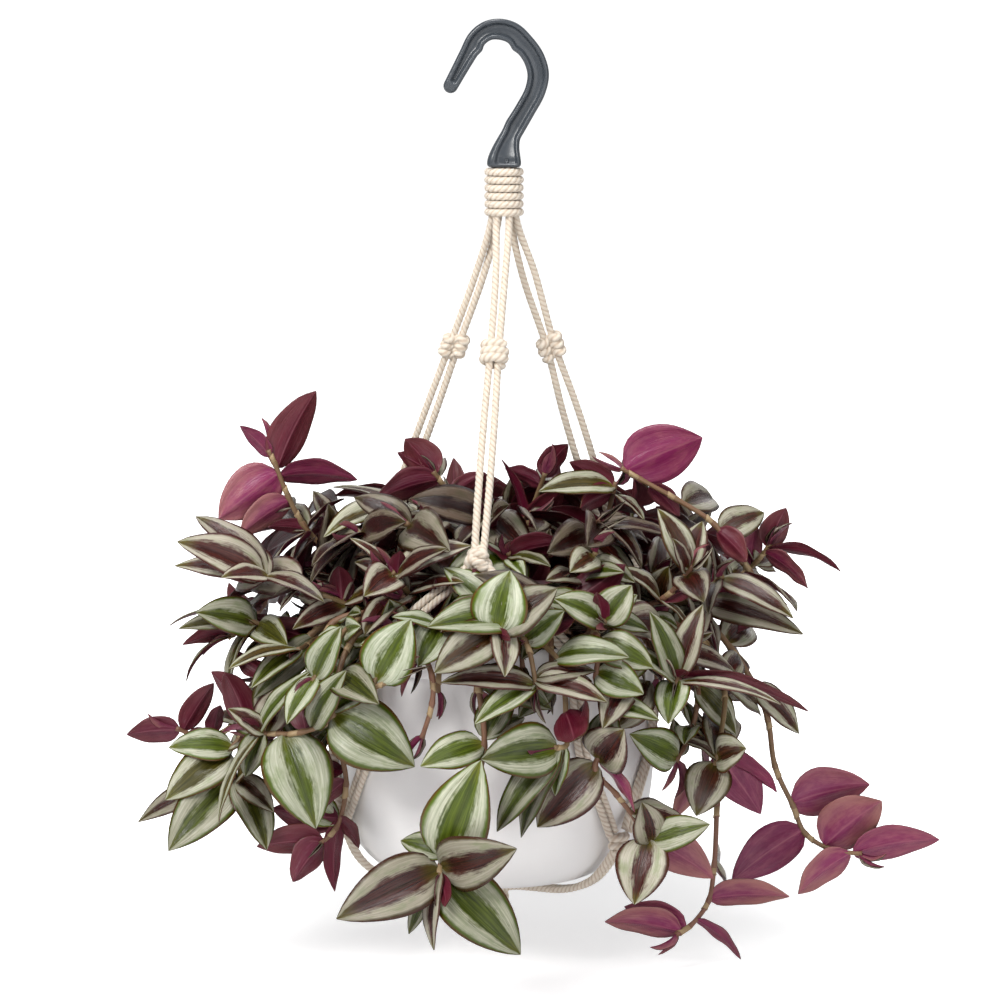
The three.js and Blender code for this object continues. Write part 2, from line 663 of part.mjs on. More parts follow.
function stemRings(points, growth) {
  let across = vector(1, 0, 0);
  return points.map((point, i) => {
    const before = points[Math.max(0, i - 1)];
    const after = points[Math.min(points.length - 1, i + 1)];
    const along = after.clone().sub(before).normalize();
    across = across.addScaledVector(along, -across.dot(along)).normalize().clone();
    const other = along.clone().cross(across);
    const radius = ROOT_RADIUS + (TIP_RADIUS - ROOT_RADIUS) * (i / (points.length - 1)) + growth;
    const ring = [];
    for (let k = 0; k < STEM_SIDES; k += 1) {
      const turn = (k / STEM_SIDES) * Math.PI * 2;
      ring.push(point.clone()
        .addScaledVector(across, Math.cos(turn) * radius)
        .addScaledVector(other, Math.sin(turn) * radius));
    }
    return ring;
  });
}

function stemSolid(points, growth = 0) {
  return loft(stemRings(points, growth));
}

function rootPoints([x, y]) {
  return [vector(x, y, SOIL_TOP - ROOT_DEPTH), vector(x, y, SOIL_TOP + ROOT_RISE)];
}
const ROOT_POINTS = 2;

// Stems placed by hand: where each stands in the soil (x, y), its route after that in the front view,
// and its leaves (number of the route's point, the leaf's tip in the front view, width, face, droop)
const HAND_STEMS = [
  {
    name: 'stem_upright_left', root: [-46, 14],
    route: [
      [-64, -279, 12], [-79, -262, 8], [-98.5, -240, 4], [-106, -226, 2], [-112.5, -210, 0], [-116, -203, 0],
    ],
    leaves: [
      [4, -92, -173, -4, 20, 150], [5, -130, -190.5, 0, 9, 150], [4, -141, -237.5, -6, 24, 168],
      [4, -71, -217.5, 4, 19, 128], [3, -130.5, -245.5, -6, 16, 150], [2, -116.5, -241, 0, 9, 140],
    ],
  },
  {
    name: 'stem_left_striped', root: [-44, -20],
    route: [[-60, -285, -28], [-82.5, -278, -34], [-104, -268, -38], [-121, -266, -40]],
    leaves: [
      [3, -161.5, -248.5, -52, 22, 35], [3, -157, -240, -28, 20, 55], [3, -163, -260.5, -36, 14, 40],
      [3, -144, -273, -60, 14, 60], [3, -87.5, -279, -58, 15, 60], [1, -80.5, -260.5, -38, 12, 170],
      [1, -29.5, -278.5, -62, 17, 62], [1, -104, -292.5, -50, 13, 30],
    ],
  },
  {
    name: 'stem_left_low', root: [-52, -6],
    route: [[-70, -283, -8], [-93, -288, -12], [-110, -295, -20], [-124.5, -289, -26], [-136, -297, -26]],
    leaves: [
      [3, -152, -284, -42, 20, 25], [3, -161, -292, -36, 13, 45], [3, -166, -290.5, -20, 14, 84, 70],
      [4, -159, -300, -22, 11, 135], [4, -157.5, -318.5, -28, 13, 86, 60], [3, -106.5, -300.5, -52, 16, 20],
    ],
  },
  {
    name: 'stem_top_left', root: [-26, 22],
    route: [[-32, -272, 22], [-44, -249, 18], [-40.5, -234.5, 15]],
    leaves: [
      [2, -88.5, -246.5, -22, 22, 60, 60], [2, -86, -224, 20, 16, 80], [1, -70.5, -234.5, -8, 12, 62],
      [1, -54.5, -232, -2, 10, 140],
    ],
  },
  {
    name: 'stem_top_maroon', root: [-8, 8],
    route: [[-9, -268, 10], [-15, -240, 8], [-28, -221, 5], [-33.5, -213.5, 3]],
    leaves: [
      [3, -47.5, -197, 0, 17, 165], [3, -53, -207, 6, 11, 150], [3, -62.5, -228, -6, 18, 140],
      [2, -7, -214, 9, 10, 150], [2, -40, -234.5, -14, 12, 50], [1, -34, -243, -14, 12, 60],
    ],
  },
  {
    name: 'stem_centre_left', root: [-30, -30],
    route: [[-38, -285, -42], [-47, -273, -54], [-54, -264, -60]],
    leaves: [
      [2, -14, -250.5, -58, 20, 55], [2, -19, -257, -74, 15, 66], [2, -50, -253, -62, 9, 165],
      [2, -75, -246.5, -54, 12, 60], [2, -68, -276, -86, 19, 20], [1, -21, -273.5, -84, 13, 66],
    ],
  },
  {
    name: 'stem_upper_right', root: [46, 12],
    route: [
      [64, -281, 14], [90, -279, 9], [112, -272, -4], [125.5, -265.5, -8], [118.5, -256.5, -6],
      [107, -240, -4], [88, -227.5, -2], [70, -217.5, 0], [60.5, -212, 0],
    ],
    leaves: [
      [8, 101.5, -196.5, -10, 28, 165], [5, 124, -259, -22, 13, 150], [5, 132.5, -234, 6, 17, 25],
      [7, 90, -236, 8, 11, 150],
    ],
  },
  {
    name: 'stem_right_sprig', root: [52, 26],
    route: [[72, -280, 24], [98, -277, 16], [120, -266, 10], [129, -258, 6], [135, -250, 3]],
    leaves: [
      [4, 143, -231.5, 2, 14, 160], [4, 171, -263.5, -4, 13, 112, 50], [4, 154.5, -272, -8, 13, 125],
      [3, 128, -240, 16, 13, 160],
    ],
  },
  {
    name: 'stem_right_rosette', root: [42, -16],
    route: [[60, -284, -28], [82, -277, -40], [96.5, -261, -46]],
    leaves: [
      [2, 79, -232, -42, 16, 30], [2, 101, -237, -38, 15, 25], [2, 86.5, -247, -58, 9, 40],
      [2, 102, -279, -64, 18, 15], [1, 60, -262, -50, 14, 60],
    ],
  },
  {
    name: 'stem_right_striped', root: [58, 2],
    route: [[78, -283, 5], [98, -277, -12], [111, -266, -27]],
    leaves: [
      [2, 147, -287, -46, 15, 40], [1, 152, -295, -34, 17, 30], [2, 104, -285, -52, 12, 45],
      [2, 137, -290, -18, 14, 140], [1, 101, -297, -46, 12, 30],
    ],
  },
  {
    name: 'stem_front_rosette', root: [9, -50],
    route: [[12, -297, -72], [13, -288, -92], [5, -289, -108], [-3.5, -294.5, -117]],
    leaves: [
      [3, 5, -263, -113, 26, 12], [3, 27.5, -272.5, -122, 21, 20], [3, -33, -314.5, -127, 21, 15],
      [3, 2.5, -316.5, -130, 14, 20], [3, 6, -298, -130, 5, 150],
    ],
  },
  {
    name: 'stem_front_green', root: [-46, -34],
    route: [[-43, -297, -58], [-45, -296, -80], [-56, -306, -98], [-63, -321, -103], [-51, -317, -105]],
    leaves: [[3, -44.5, -287.5, -106, 25, 10], [2, -70, -300, -104, 12, 40]],
  },
  {
    name: 'stem_front_round', root: [-27, -50],
    route: [[-30, -297, -70], [-32, -293, -86], [-29, -291, -98]],
    leaves: [[2, -41, -311, -106, 21, 15], [2, -54, -286, -102, 12, 60], [2, -19, -283, -104, 12, 60]],
  },
  {
    name: 'stem_left_rosette', root: [-54, -38],
    route: [
      [-64, -291, -58], [-75, -300, -74], [-82, -320, -88], [-84, -337, -91], [-99, -344, -87],
      [-111, -345, -81], [-123, -344, -77],
    ],
    leaves: [
      [3, -42.5, -361.5, -104, 31, 8], [5, -92, -392.5, -98, 31, 12], [4, -77, -313, -100, 16, 30],
      [6, -107, -320, -66, 18, 25], [6, -94.5, -313, -86, 12, 50], [6, -141.5, -390.5, -90, 14, 70],
      [6, -131, -366, -78, 15, 26], [6, -136, -332, -82, 11, 34], [6, -129.5, -336, -90, 6, 150],
    ],
  },
  {
    name: 'stem_lower_left', root: [-60, -22],
    route: [
      [-76, -288, -26], [-94, -295, -32], [-114, -318, -40], [-127, -343, -46], [-136, -356, -50],
      [-131, -370, -54],
    ],
    leaves: [
      [4, -167.5, -378, -68, 21, 20], [5, -166, -403.5, -76, 25, 15], [4, -166, -353.5, -50, 18, 40],
      [5, -181.5, -389, -52, 14, 30], [5, -121, -406, -68, 20, 35], [5, -113, -384, -64, 14, 30],
    ],
  },
  {
    name: 'stem_left_sprig', root: [-54, 26],
    route: [
      [-74, -281, 26], [-96, -290, 20], [-117, -318, 10], [-134, -341, 0], [-148, -347, -6], [-162, -342, -8],
    ],
    leaves: [
      [5, -187, -345, -12, 14, 155], [5, -143, -319, -10, 12, 160], [4, -140, -330, -10, 9, 150],
      [4, -165, -352, -8, 10, 130], [2, -128, -345, 0, 14, 40],
    ],
  },
  {
    name: 'stem_left_middle', root: [-64, -8],
    route: [[-80, -288, -16], [-94, -299, -36], [-101, -303, -54]],
    leaves: [[2, -139, -312, -72, 15, 64], [2, -126, -316, -76, 13, 45], [1, -125, -332, -44, 17, 30]],
  },
  {
    name: 'stem_left_front', root: [-49, -45],
    route: [[-60, -283, -56], [-80, -296, -78], [-94, -319, -90]],
    leaves: [[2, -79.5, -291, -94, 16, 20], [2, -107, -340, -104, 14, 35], [1, -70, -291, -98, 12, 30]],
  },
  {
    name: 'stem_bottom_rosette', root: [-12, -52],
    route: [
      [-13, -302, -74], [-14, -296, -93], [-11, -320, -104], [-8, -352, -108], [-17, -385, -112],
      [-30, -411, -116], [-30, -417, -120],
    ],
    leaves: [
      [3, -40, -361, -120, 18, 30], [5, -9.5, -358, -132, 30, 8], [6, -82, -437.5, -140, 27, 12],
      [6, 18, -396, -140, 26, 15], [6, 10.5, -455.5, -130, 29, 10], [6, -33.5, -453.5, -136, 13, 55],
      [6, -46, -445.5, -114, 10, 20], [5, -50, -398, -106, 14, 30], [6, -27, -432, -142, 7, 150],
    ],
  },
  {
    name: 'stem_bare', root: [-38, -44],
    route: [[-41, -294, -66], [-42, -297, -90], [-34, -316, -101], [-34, -330, -102], [-39, -347, -101]],
    leaves: [],
  },
  {
    name: 'stem_front_middle', root: [22, -46],
    route: [
      [20, -297, -70], [18, -297, -88], [30, -310, -101], [33, -336, -105], [33, -351, -107],
      [27, -352, -111],
    ],
    leaves: [
      [5, -9.5, -357.5, -122, 25, 10], [5, -2, -394, -114, 17, 30], [5, 10, -397, -104, 15, 45],
      [5, 18, -374, -112, 12, 20],
    ],
  },
  {
    name: 'stem_purple_rosette', root: [42, -38],
    route: [
      [52, -298, -60], [60, -296, -80], [62, -322, -92], [56, -345, -98], [47.5, -362, -104],
      [58, -375, -101], [68, -388, -98], [77, -401.5, -98],
    ],
    leaves: [
      [4, 16, -389.5, -112, 24, 12], [4, 62, -342.5, -114, 24, 15], [4, 68, -384, -112, 12, 115],
      [4, 56, -331, -102, 17, 20], [7, 71, -379, -106, 17, 20], [7, 105, -390, -106, 16, 20],
      [7, 67, -430.5, -108, 24, 10], [7, 107, -417, -92, 20, 165],
    ],
  },
  {
    name: 'stem_front_striped', root: [0, -36],
    route: [[1, -296, -60], [2, -290, -84], [13, -299, -103], [18.5, -323, -110]],
    leaves: [
      [3, -30, -319, -120, 15, 45], [3, -11.5, -336, -116, 13, 40], [3, 54, -329, -116, 15, 40],
      [3, 48, -318, -104, 13, 45], [2, 32, -283.5, -112, 16, 12], [3, -13, -340, -124, 13, 30],
    ],
  },
  {
    name: 'stem_right_low_rosette', root: [56, -24],
    route: [[70, -291, -38], [84, -293, -56], [90, -307, -72], [88, -321, -80]],
    leaves: [
      [3, 58, -299, -86, 13, 60], [3, 75, -283.5, -86, 15, 30], [3, 101, -281, -82, 15, 20],
      [3, 155, -333.5, -78, 14, 120], [3, 141, -330, -92, 14, 70], [3, 84, -340, -94, 17, 20],
      [3, 94, -313, -90, 6, 150],
    ],
  },
  {
    name: 'stem_front_right', root: [32, -44],
    route: [[40, -300, -68], [46, -293, -88], [50, -301, -97], [48, -316, -101], [51, -335, -103]],
    leaves: [[3, 72, -325, -110, 18, 12], [2, 77, -312, -104, 18, 20], [4, 80, -338, -110, 13, 40]],
  },
  {
    name: 'stem_right_hanging', root: [64, -10],
    route: [[78, -288, -18], [93, -294, -32], [99, -325, -44], [95, -345, -52], [88, -359, -60]],
    leaves: [[4, 65, -345, -82, 19, 15], [3, 92, -350, -74, 13, 40], [2, 120, -345, -46, 16, 30]],
  },
  {
    name: 'stem_right_cluster', root: [68, -1],
    route: [[82, -285, -4], [100, -296, -22], [112, -322, -42], [110, -348, -58], [107.5, -361, -64]],
    leaves: [
      [4, 98, -386, -78, 21, 12], [4, 123, -352, -70, 20, 35], [4, 139, -374, -62, 17, 118],
      [4, 133, -388, -52, 22, 165], [4, 86, -388, -60, 13, 150],
    ],
  },
  {
    name: 'stem_trailing_right', root: [62, 18],
    route: [
      [82, -281, 14], [102, -288, 6], [116, -303, -2], [128.5, -323, -8], [134, -338, -10],
      [137.5, -361, -10], [146.5, -381, -10], [152.5, -394.5, -10], [165, -402.5, -12], [181, -405, -14],
    ],
    leaves: [
      [6, 185, -370, -6, 24, 160], [8, 191, -378, -22, 26, 165], [9, 220, -397.5, -18, 19, 150],
      [9, 148.5, -425, -22, 17, 150], [7, 115.5, -418.5, -16, 22, 165], [3, 150, -345, -4, 14, 30],
    ],
  },
  {
    name: 'stem_trailing_low', root: [60, 38],
    route: [
      [80, -280, 34], [100, -292, 20], [110, -315, -2], [111.5, -330, -14], [110, -352, -22],
      [108.5, -380, -28], [107, -411, -34], [104, -429, -38], [95, -441, -40], [88, -445.5, -42],
    ],
    leaves: [
      [7, 145, -426, -40, 15, 155], [9, 52, -438.5, -46, 17, 150], [8, 121, -457.5, -44, 10, 125, 40],
      [9, 62, -431, -34, 15, 160],
    ],
  },
  {
    name: 'stem_top_silver', root: [34, 20],
    route: [[42, -272, 20], [51, -245, 17], [58, -219, 14]],
    leaves: [
      [2, 19, -223.5, -2, 18, 50], [2, 34.5, -208.5, 16, 13, 150], [2, 39.5, -232, -6, 13, 150],
      [2, 72.5, -238, 0, 10, 62], [1, 22, -232, 8, 18, 130],
    ],
  },
  {
    name: 'stem_top_curled', root: [10, 28],
    route: [[11, -268, 26], [14, -240, 22], [22.5, -214.5, 18]],
    leaves: [
      [2, 34, -199.5, 14, 13, 150, 50], [1, 1, -207, 16, 9, 120], [1, 32, -222, 12, 15, 150],
      [2, 2.5, -212, 26, 10, 140],
    ],
  },
  {
    name: 'stem_centre', root: [6, -18],
    route: [[6, -276, -26], [5, -262, -38], [4, -254, -46]],
    leaves: [[2, 34, -249.5, -48, 16, 140], [2, 25.5, -261, -64, 11, 62], [2, 17, -266, -70, 9, 30]],
  },
  {
    name: 'stem_centre_right', root: [28, -16],
    route: [[34, -280, -30], [42, -264, -44], [48, -254, -52]],
    leaves: [
      [2, 35, -264, -70, 15, 20], [1, 62, -264, -70, 12, 50], [1, 23, -268, -72, 13, 50],
      [2, 66, -268, -64, 12, 20],
    ],
  },
  {
    name: 'stem_front_upper_right', root: [34, -30],
    route: [[42, -288, -52], [49, -286, -76], [52, -289, -92]],
    leaves: [[2, 66, -270.5, -92, 18, 12], [2, 49, -271, -98, 8, 150], [2, 27, -277, -102, 17, 30]],
  },
];

// Clumps grown by rule fill the middle, the sides and the back: where each stands in the soil,
// and its stems (turn from the clump's azimuth, first elevation, fall at each joint, joints)
const OUTER_STEMS = [[-16, 64, 18, 5], [14, 46, 26, 5]];
const INNER_STEMS = [[-60, 72, 13, 4], [60, 70, 14, 4], [180, 74, 12, 4]];
const CLUMPS = [
  { name: 'clump_back', azimuth: 90, reach: 58, stems: OUTER_STEMS },
  { name: 'clump_back_right', azimuth: 48, reach: 60, stems: OUTER_STEMS },
  { name: 'clump_back_left', azimuth: 132, reach: 60, stems: OUTER_STEMS },
  { name: 'clump_middle_back', azimuth: 95, reach: 34, stems: INNER_STEMS },
  { name: 'clump_middle_left', azimuth: 160, reach: 24, stems: INNER_STEMS },
  { name: 'clump_middle_right', azimuth: 20, reach: 16, stems: INNER_STEMS },
  { name: 'clump_side_right', azimuth: 66, reach: 66, stems: OUTER_STEMS },
  { name: 'clump_side_left', azimuth: 112, reach: 66, stems: OUTER_STEMS },
  { name: 'clump_middle', azimuth: -100, reach: 6, stems: INNER_STEMS },
];
const FOOT_DEPTH = 3;
const JOINT_STEP = 21;
const JOINT_STEP_SHARES = [0.9, 0.25];
const JOINT_ZIGZAG = 7;
const JOINT_TURN = 12;
const STEEPEST_FALL = -74;
const ROUTE_TRIES = 14;
const ROUTE_SPREAD = 7;
const ROUTE_TURN = 10;
const ROUTE_LIFT = 8;
// Tries after this one start steeper
const STEEPER_AFTER = 6;
const CLUMP_SEED = 1000;

function makeRandom(seed) {
  let state = seed;
  return () => {
    state = (state + 0x6d2b79f5) | 0;
    let value = Math.imul(state ^ (state >>> 15), 1 | state);
    value = (value + Math.imul(value ^ (value >>> 7), 61 | value)) ^ value;
    return ((value ^ (value >>> 14)) >>> 0) / 4294967296;
  };
}

function clumpRoute(clump, [turn, rise, fall, joints], attempt, random) {
  const foot = polar(POT_X, clump.azimuth, clump.reach, SOIL_TOP - FOOT_DEPTH);
  const points = [foot.clone().setZ(SOIL_TOP - ROOT_DEPTH + CROWN_RISE), foot.clone()];
  const spread = ((attempt % 2 ? -1 : 1) * Math.ceil(attempt / 2)) * ROUTE_SPREAD;
  let azimuth = clump.azimuth + turn + spread + (random() - 0.5) * ROUTE_TURN;
  let elevation = rise + (attempt > STEEPER_AFTER ? ROUTE_LIFT : 0) + (random() - 0.5) * ROUTE_LIFT;
  let point = foot.clone();
  for (let i = 0; i < joints; i += 1) {
    const step = JOINT_STEP * (JOINT_STEP_SHARES[0] + random() * JOINT_STEP_SHARES[1]);
    const slope = radians(elevation);
    const heading = radians(azimuth + (i % 2 ? JOINT_ZIGZAG : -JOINT_ZIGZAG));
    point = point.clone().add(vector(
      Math.cos(heading) * Math.cos(slope) * step,
      Math.sin(heading) * Math.cos(slope) * step,
      Math.sin(slope) * step,
    ));
    points.push(point);
    elevation = Math.max(STEEPEST_FALL, elevation - fall);
    azimuth += (random() - 0.5) * JOINT_TURN;
  }
  return points;
}

// Leaves stand in turn to the left and right of a clump's stem, and three close its end
const SIDE_LEAF_TURN = 62;
const END_LEAF_TURNS = [66, -66, 4];
const FIRST_LEAF_JOINT = 3;

function clumpLeaves(points, random) {
  const last = points.length - 1;
  return points.slice(FIRST_LEAF_JOINT).flatMap((point, i) => {
    const joint = i + FIRST_LEAF_JOINT;
    const turns = joint === last ? END_LEAF_TURNS : [i % 2 ? SIDE_LEAF_TURN : -SIDE_LEAF_TURN];
    return turns.map((turn, number) => ruleLeaf(leafRoot(points, joint, number), turn, RULE_LEAF, random));
  });
}

// Leaves of one stem start inside it, each a little lower than the last
function leafRoot(points, joint, number) {
  const along = points[joint].clone().sub(points[joint - 1]).normalize();
  return points[joint].clone().addScaledVector(along, -LEAF_SINK - LEAF_STAGGER * (number % 4));
}

// A hand-placed stem also carries a leaf by rule at every fourth joint, if it has none there
const FILLING_LEAF_TURN = 70;

function fillingLeaves(stem, points, random) {
  const taken = new Set(stem.leaves.map(([joint]) => joint + ROOT_POINTS));
  return points.slice(ROOT_POINTS).flatMap((point, i) => {
    const joint = i + ROOT_POINTS;
    if (i % 4 !== 2 || taken.has(joint) || stem.leaves.length === 0) return [];
    const turn = random() < 0.5 ? FILLING_LEAF_TURN : -FILLING_LEAF_TURN;
    return [ruleLeaf(leafRoot(points, joint, i), turn, RULE_LEAF, random)];
  });
}

// Placing

const placed = [];

function place(owner, solid, leaf = false) {
  placed.push({ owner, solid, leaf, box: solid.boundingBox() });
}

function boxesMeet(a, b) {
  return [0, 1, 2].every((axis) => a.min[axis] <= b.max[axis] && b.min[axis] <= a.max[axis]);
}

// Whether a solid crosses what is placed. Within a node, leaves may meet at their roots, and stems anywhere.
function crosses(owner, solid) {
  const box = solid.boundingBox();
  return placed.some((other) => {
    if (!boxesMeet(box, other.box) || (other.owner === owner && !other.leaf)) return false;
    const shared = solid.intersect(other.solid);
    return other.owner === owner ? shared.volume() > ROOT_OVERLAP : !shared.isEmpty();
  });
}

// Ways to move a hand-placed stem clear of its neighbours, tried in turn: away from the viewer, and sideways
const STEM_SHIFTS = [
  [0, 0], [2.5, 0], [-2.5, 0], [5, 0], [-5, 0], [2.5, 2.5], [-2.5, -2.5], [-2.5, 2.5], [2.5, -2.5], [8, 0],
  [-8, 0], [6, 4], [-6, -4], [-6, 4], [6, -4], [12, 0], [-12, 0], [10, 6], [-10, -6], [-10, 6], [10, -6],
  [0, 5], [0, -5], [0, 8], [0, -8], [5, 8], [-5, -8], [-5, 8], [5, -8], [16, 0], [-16, 0], [0, 11], [0, -11],
];

function shiftedRoute(stem, [away, aside]) {
  const last = stem.route.length - 1;
  return stem.route.map((point, i) => {
    const share = i === last ? 0.4 : 1;
    return fromFront(point).add(vector(aside * share, away * share, 0));
  });
}

function handStem(stem, number) {
  const routes = STEM_SHIFTS.map((shift) => [...rootPoints(stem.root), ...shiftedRoute(stem, shift)]);
  const clear = (points) => !crosses(stem.name, stemSolid(points, CLEARANCE));
  const points = routes.find(clear) ?? routes[0];
  const tube = stemSolid(points);
  place(stem.name, tube);
  const leaves = stem.leaves.map((row, i) => handLeaf(leafRoot(points, row[0] + ROOT_POINTS, i), row));
  const fillers = fillingLeaves(stem, points, makeRandom(number + 1));
  return { name: stem.name, solids: [tube], leaves, fillers };
}

function clumpPlant(clump, number) {
  const random = makeRandom(CLUMP_SEED + number);
  const foot = polar(POT_X, clump.azimuth, clump.reach, 0);
  const low = SOIL_TOP - ROOT_DEPTH;
  const crown = prism(CROWN_RADIUS, CROWN_SIDES, low, SOIL_TOP + CROWN_RISE, foot.x, foot.y);
  place(clump.name, crown);
  const solids = [crown];
  const fillers = [];
  for (const stem of clump.stems) {
    for (let attempt = 0; attempt < ROUTE_TRIES; attempt += 1) {
      const points = clumpRoute(clump, stem, attempt, random);
      if (crosses(clump.name, stemSolid(points, CLEARANCE))) continue;
      const tube = stemSolid(points);
      place(clump.name, tube);
      solids.push(tube);
      fillers.push(...clumpLeaves(points, random));
      break;
    }
  }
  return { name: clump.name, solids, leaves: [], fillers };
}

function addLeaves(plant, leaves) {
  for (const leaf of leaves) {
    const clear = (trial) => !crosses(plant.name, leafSolid(bentLeaf(leaf, trial), CLEARANCE));
    const bend = LEAF_BENDS.find(clear);
    if (!bend) continue;
    const solid = leafSolid(bentLeaf(leaf, bend));
    place(plant.name, solid, true);
    plant.solids.push(solid);
  }
}

// Every stem is placed before any leaf, and the leaves seen in front before those placed by rule
function makePlants() {
  const plants = [...HAND_STEMS.map(handStem), ...CLUMPS.map(clumpPlant)];
  for (const plant of plants) addLeaves(plant, plant.leaves);
  for (const plant of plants) addLeaves(plant, plant.fillers);
  return plants;
}

function rootHoles() {
  const low = SOIL_TOP - HOLE_DEPTH;
  const high = SOIL_TOP + HOLE_RISE;
  const stems = HAND_STEMS.map(({ root: [x, y] }) => prism(HOLE_RADIUS, HOLE_SIDES, low, high, x, y));
  const crowns = CLUMPS.map(({ azimuth, reach }) => {
    const foot = polar(POT_X, azimuth, reach, 0);
    return prism(CROWN_HOLE_RADIUS, CROWN_SIDES, low, high, foot.x, foot.y);
  });
  return [...stems, ...crowns];
}

// The object

const finish = (color, roughness) => new THREE.MeshStandardMaterial({ color, roughness, metalness: 0 });
const materials = {
  hook: finish(HOOK_COLOUR, 0.45),
  cord: finish(CORD_COLOUR, 0.95),
  pot: finish(POT_COLOUR, 0.4),
  soil: finish(SOIL_COLOUR, 1),
  frontPlant: finish(FRONT_PLANT_COLOUR, 0.45),
  backPlant: finish(BACK_PLANT_COLOUR, 0.45),
};

const netCords = makeNetCords();
const group = new THREE.Group();

function add(name, solid, material) {
  group.add(meshOf(name, solid, material));
  place(name, solid);
}

add('hook', hook(), materials.hook);
add('gathering_wrap', gatheringWrap(), materials.cord);
for (const name of Object.keys(LEG_AZIMUTHS)) add(`leg_${name}`, leg(name), materials.cord);
for (const net of netCords) add(net.name, net.solid, materials.cord);
for (const name of Object.keys(LOWER_KNOTS)) add(`under_cord_${name}`, lowerCord(name), materials.cord);
add('bottom_knot', bottomKnot(LOWER_KNOTS), materials.cord);
add('pot', pot(), materials.pot);
add('soil', soil(rootHoles()), materials.soil);
for (const { name, solids } of makePlants()) {
  const material = name.startsWith('clump') ? materials.backPlant : materials.frontPlant;
  group.add(meshOf(name, join(solids), material));
}

export default group;
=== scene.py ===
# Striped trailing plant in a bowl pot, hung in a knotted cord hanger: its fine shapes and finishes.

import math
from itertools import product

import bpy
import numpy as np
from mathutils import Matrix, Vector, noise


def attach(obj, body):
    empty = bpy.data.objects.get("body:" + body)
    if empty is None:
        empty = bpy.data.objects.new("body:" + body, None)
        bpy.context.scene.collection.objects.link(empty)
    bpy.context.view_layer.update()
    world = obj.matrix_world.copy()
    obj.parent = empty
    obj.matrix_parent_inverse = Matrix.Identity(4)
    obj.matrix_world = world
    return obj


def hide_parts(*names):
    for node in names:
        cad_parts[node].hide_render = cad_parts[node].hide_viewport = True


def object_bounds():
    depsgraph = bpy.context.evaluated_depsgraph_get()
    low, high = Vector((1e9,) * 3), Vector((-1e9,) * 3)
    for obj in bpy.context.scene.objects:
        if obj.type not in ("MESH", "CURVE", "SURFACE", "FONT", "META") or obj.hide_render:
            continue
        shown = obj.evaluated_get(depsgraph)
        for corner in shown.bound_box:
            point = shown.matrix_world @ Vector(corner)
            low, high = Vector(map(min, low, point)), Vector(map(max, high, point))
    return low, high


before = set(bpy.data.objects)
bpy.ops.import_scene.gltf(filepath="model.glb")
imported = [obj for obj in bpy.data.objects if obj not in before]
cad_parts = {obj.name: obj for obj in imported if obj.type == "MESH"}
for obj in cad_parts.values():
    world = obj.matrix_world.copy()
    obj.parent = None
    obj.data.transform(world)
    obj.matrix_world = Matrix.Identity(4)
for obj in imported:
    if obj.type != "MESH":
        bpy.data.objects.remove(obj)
frame_box = [list(corner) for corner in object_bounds()]

# Driving dimensions in millimetres, as in the part's source
MM = 0.001
HANG_X = 2
POT_X = -2.5

HOOK_THICKNESS = 8
HOOK_WEB = 3.2
HOOK_TIP_RADIUS = 3.6
HOOK_FOOT_BOTTOM = -62
SOCKET_TOP = -57

CORD_RADIUS = 1.9
BUNDLE_RADIUS = 4.5
BUNDLE_TURN = 30
WRAP_TOP = -62.4
WRAP_TURNS = 6
WRAP_CORD = 4
WRAP_OUTER = 9.8
WRAP_BOTTOM = WRAP_TOP - WRAP_TURNS * WRAP_CORD
UPPER_KNOT_Z = -152
UPPER_KNOT_REACH = 28
RIM_KNOT_Z = -249
RIM_KNOT_REACH = 65
KNOT_WIDTH = 14.5
KNOT_LENGTH = 15
PAIR_SPREADS = {"front": 2.6, "right": 3.8, "left": 2.6}
BELLY_SPREADS = {"front": 2.3, "right": 3.1, "left": 2.0}
# How far from the hook's line the cords come out of the wrapping
FAN_RADIUS = 6.3
KNOT_SPREAD = 2.1
LEG_BELLY_Z = -115
LEG_BENDS_Z = (-185, -220)
# How much of the way from the hook's line to the pot's line the legs have come at the upper knots
LEG_CENTRE_SHARE = 0.3
LEG_AZIMUTHS = {"front": -97, "right": 28, "left": 148}
LOWER_KNOTS = {
    "front_left": (-157, -386, ("front", "left")),
    "front_right": (-42, -391, ("front", "right")),
    "back": (85, -388, ("right", "left")),
}
LOWER_KNOT_REACH = 81.9
LOWER_KNOT_LENGTH = 15
LOWER_KNOT_TAIL = 0.38
BOTTOM_KNOT_TOP = -421
BOTTOM_KNOT_LENGTH = 13
TASSEL_LENGTH = 9
TASSEL_ENDS = 6
TASSEL_RADIUS = 1.5

POT_RIM_TOP = -290
POT_BAND_BOTTOM = -304
POT_RIM_RADIUS = 85
POT_BODY_RADIUS = 80
POT_WALL = 2.4
POT_BOTTOM = -416.5
POT_FOOT_RADIUS = 38
DRAIN_HOLES = 4
DRAIN_RADIUS = 4
DRAIN_REACH = 22
SOIL_TOP = -300
SOIL_RADIUS = 77.4

STEM_SIDES = 3
ROOT_RADIUS = 2.1
TIP_RADIUS = 1.35
ROOT_DEPTH = 12
ROOT_RISE = 12
ROOT_POINTS = 2
BLADE = 1.8
LEAF_SINK = 2.2
LEAF_STAGGER = 1.3
LEAF_FOLD = 10
LEAF_DROOP = 34
LEAF_FULLNESS = 1.12
LONG_LEAF = 52

# The photograph's viewing point, from which the listed stems are drawn too
VIEW_DISTANCE = 1800
VIEW_TILT = 7.5
VIEW_CENTRE_Z = -228
VIEW_LENS = 129.6
FLOOR_Z = -460

# The wall's strength as the camera sees it and as the plant does, and the shadow's place and extent on
# the floor
WALL_SEEN = 1.1
WALL_LIGHT = 0.27
SHADOW_Y = 100
SHADOW_INNER = 80
SHADOW_OUTER = 360
# How high up the pot's side it is darker
DARKENED_HEIGHT = 26


# Node trees

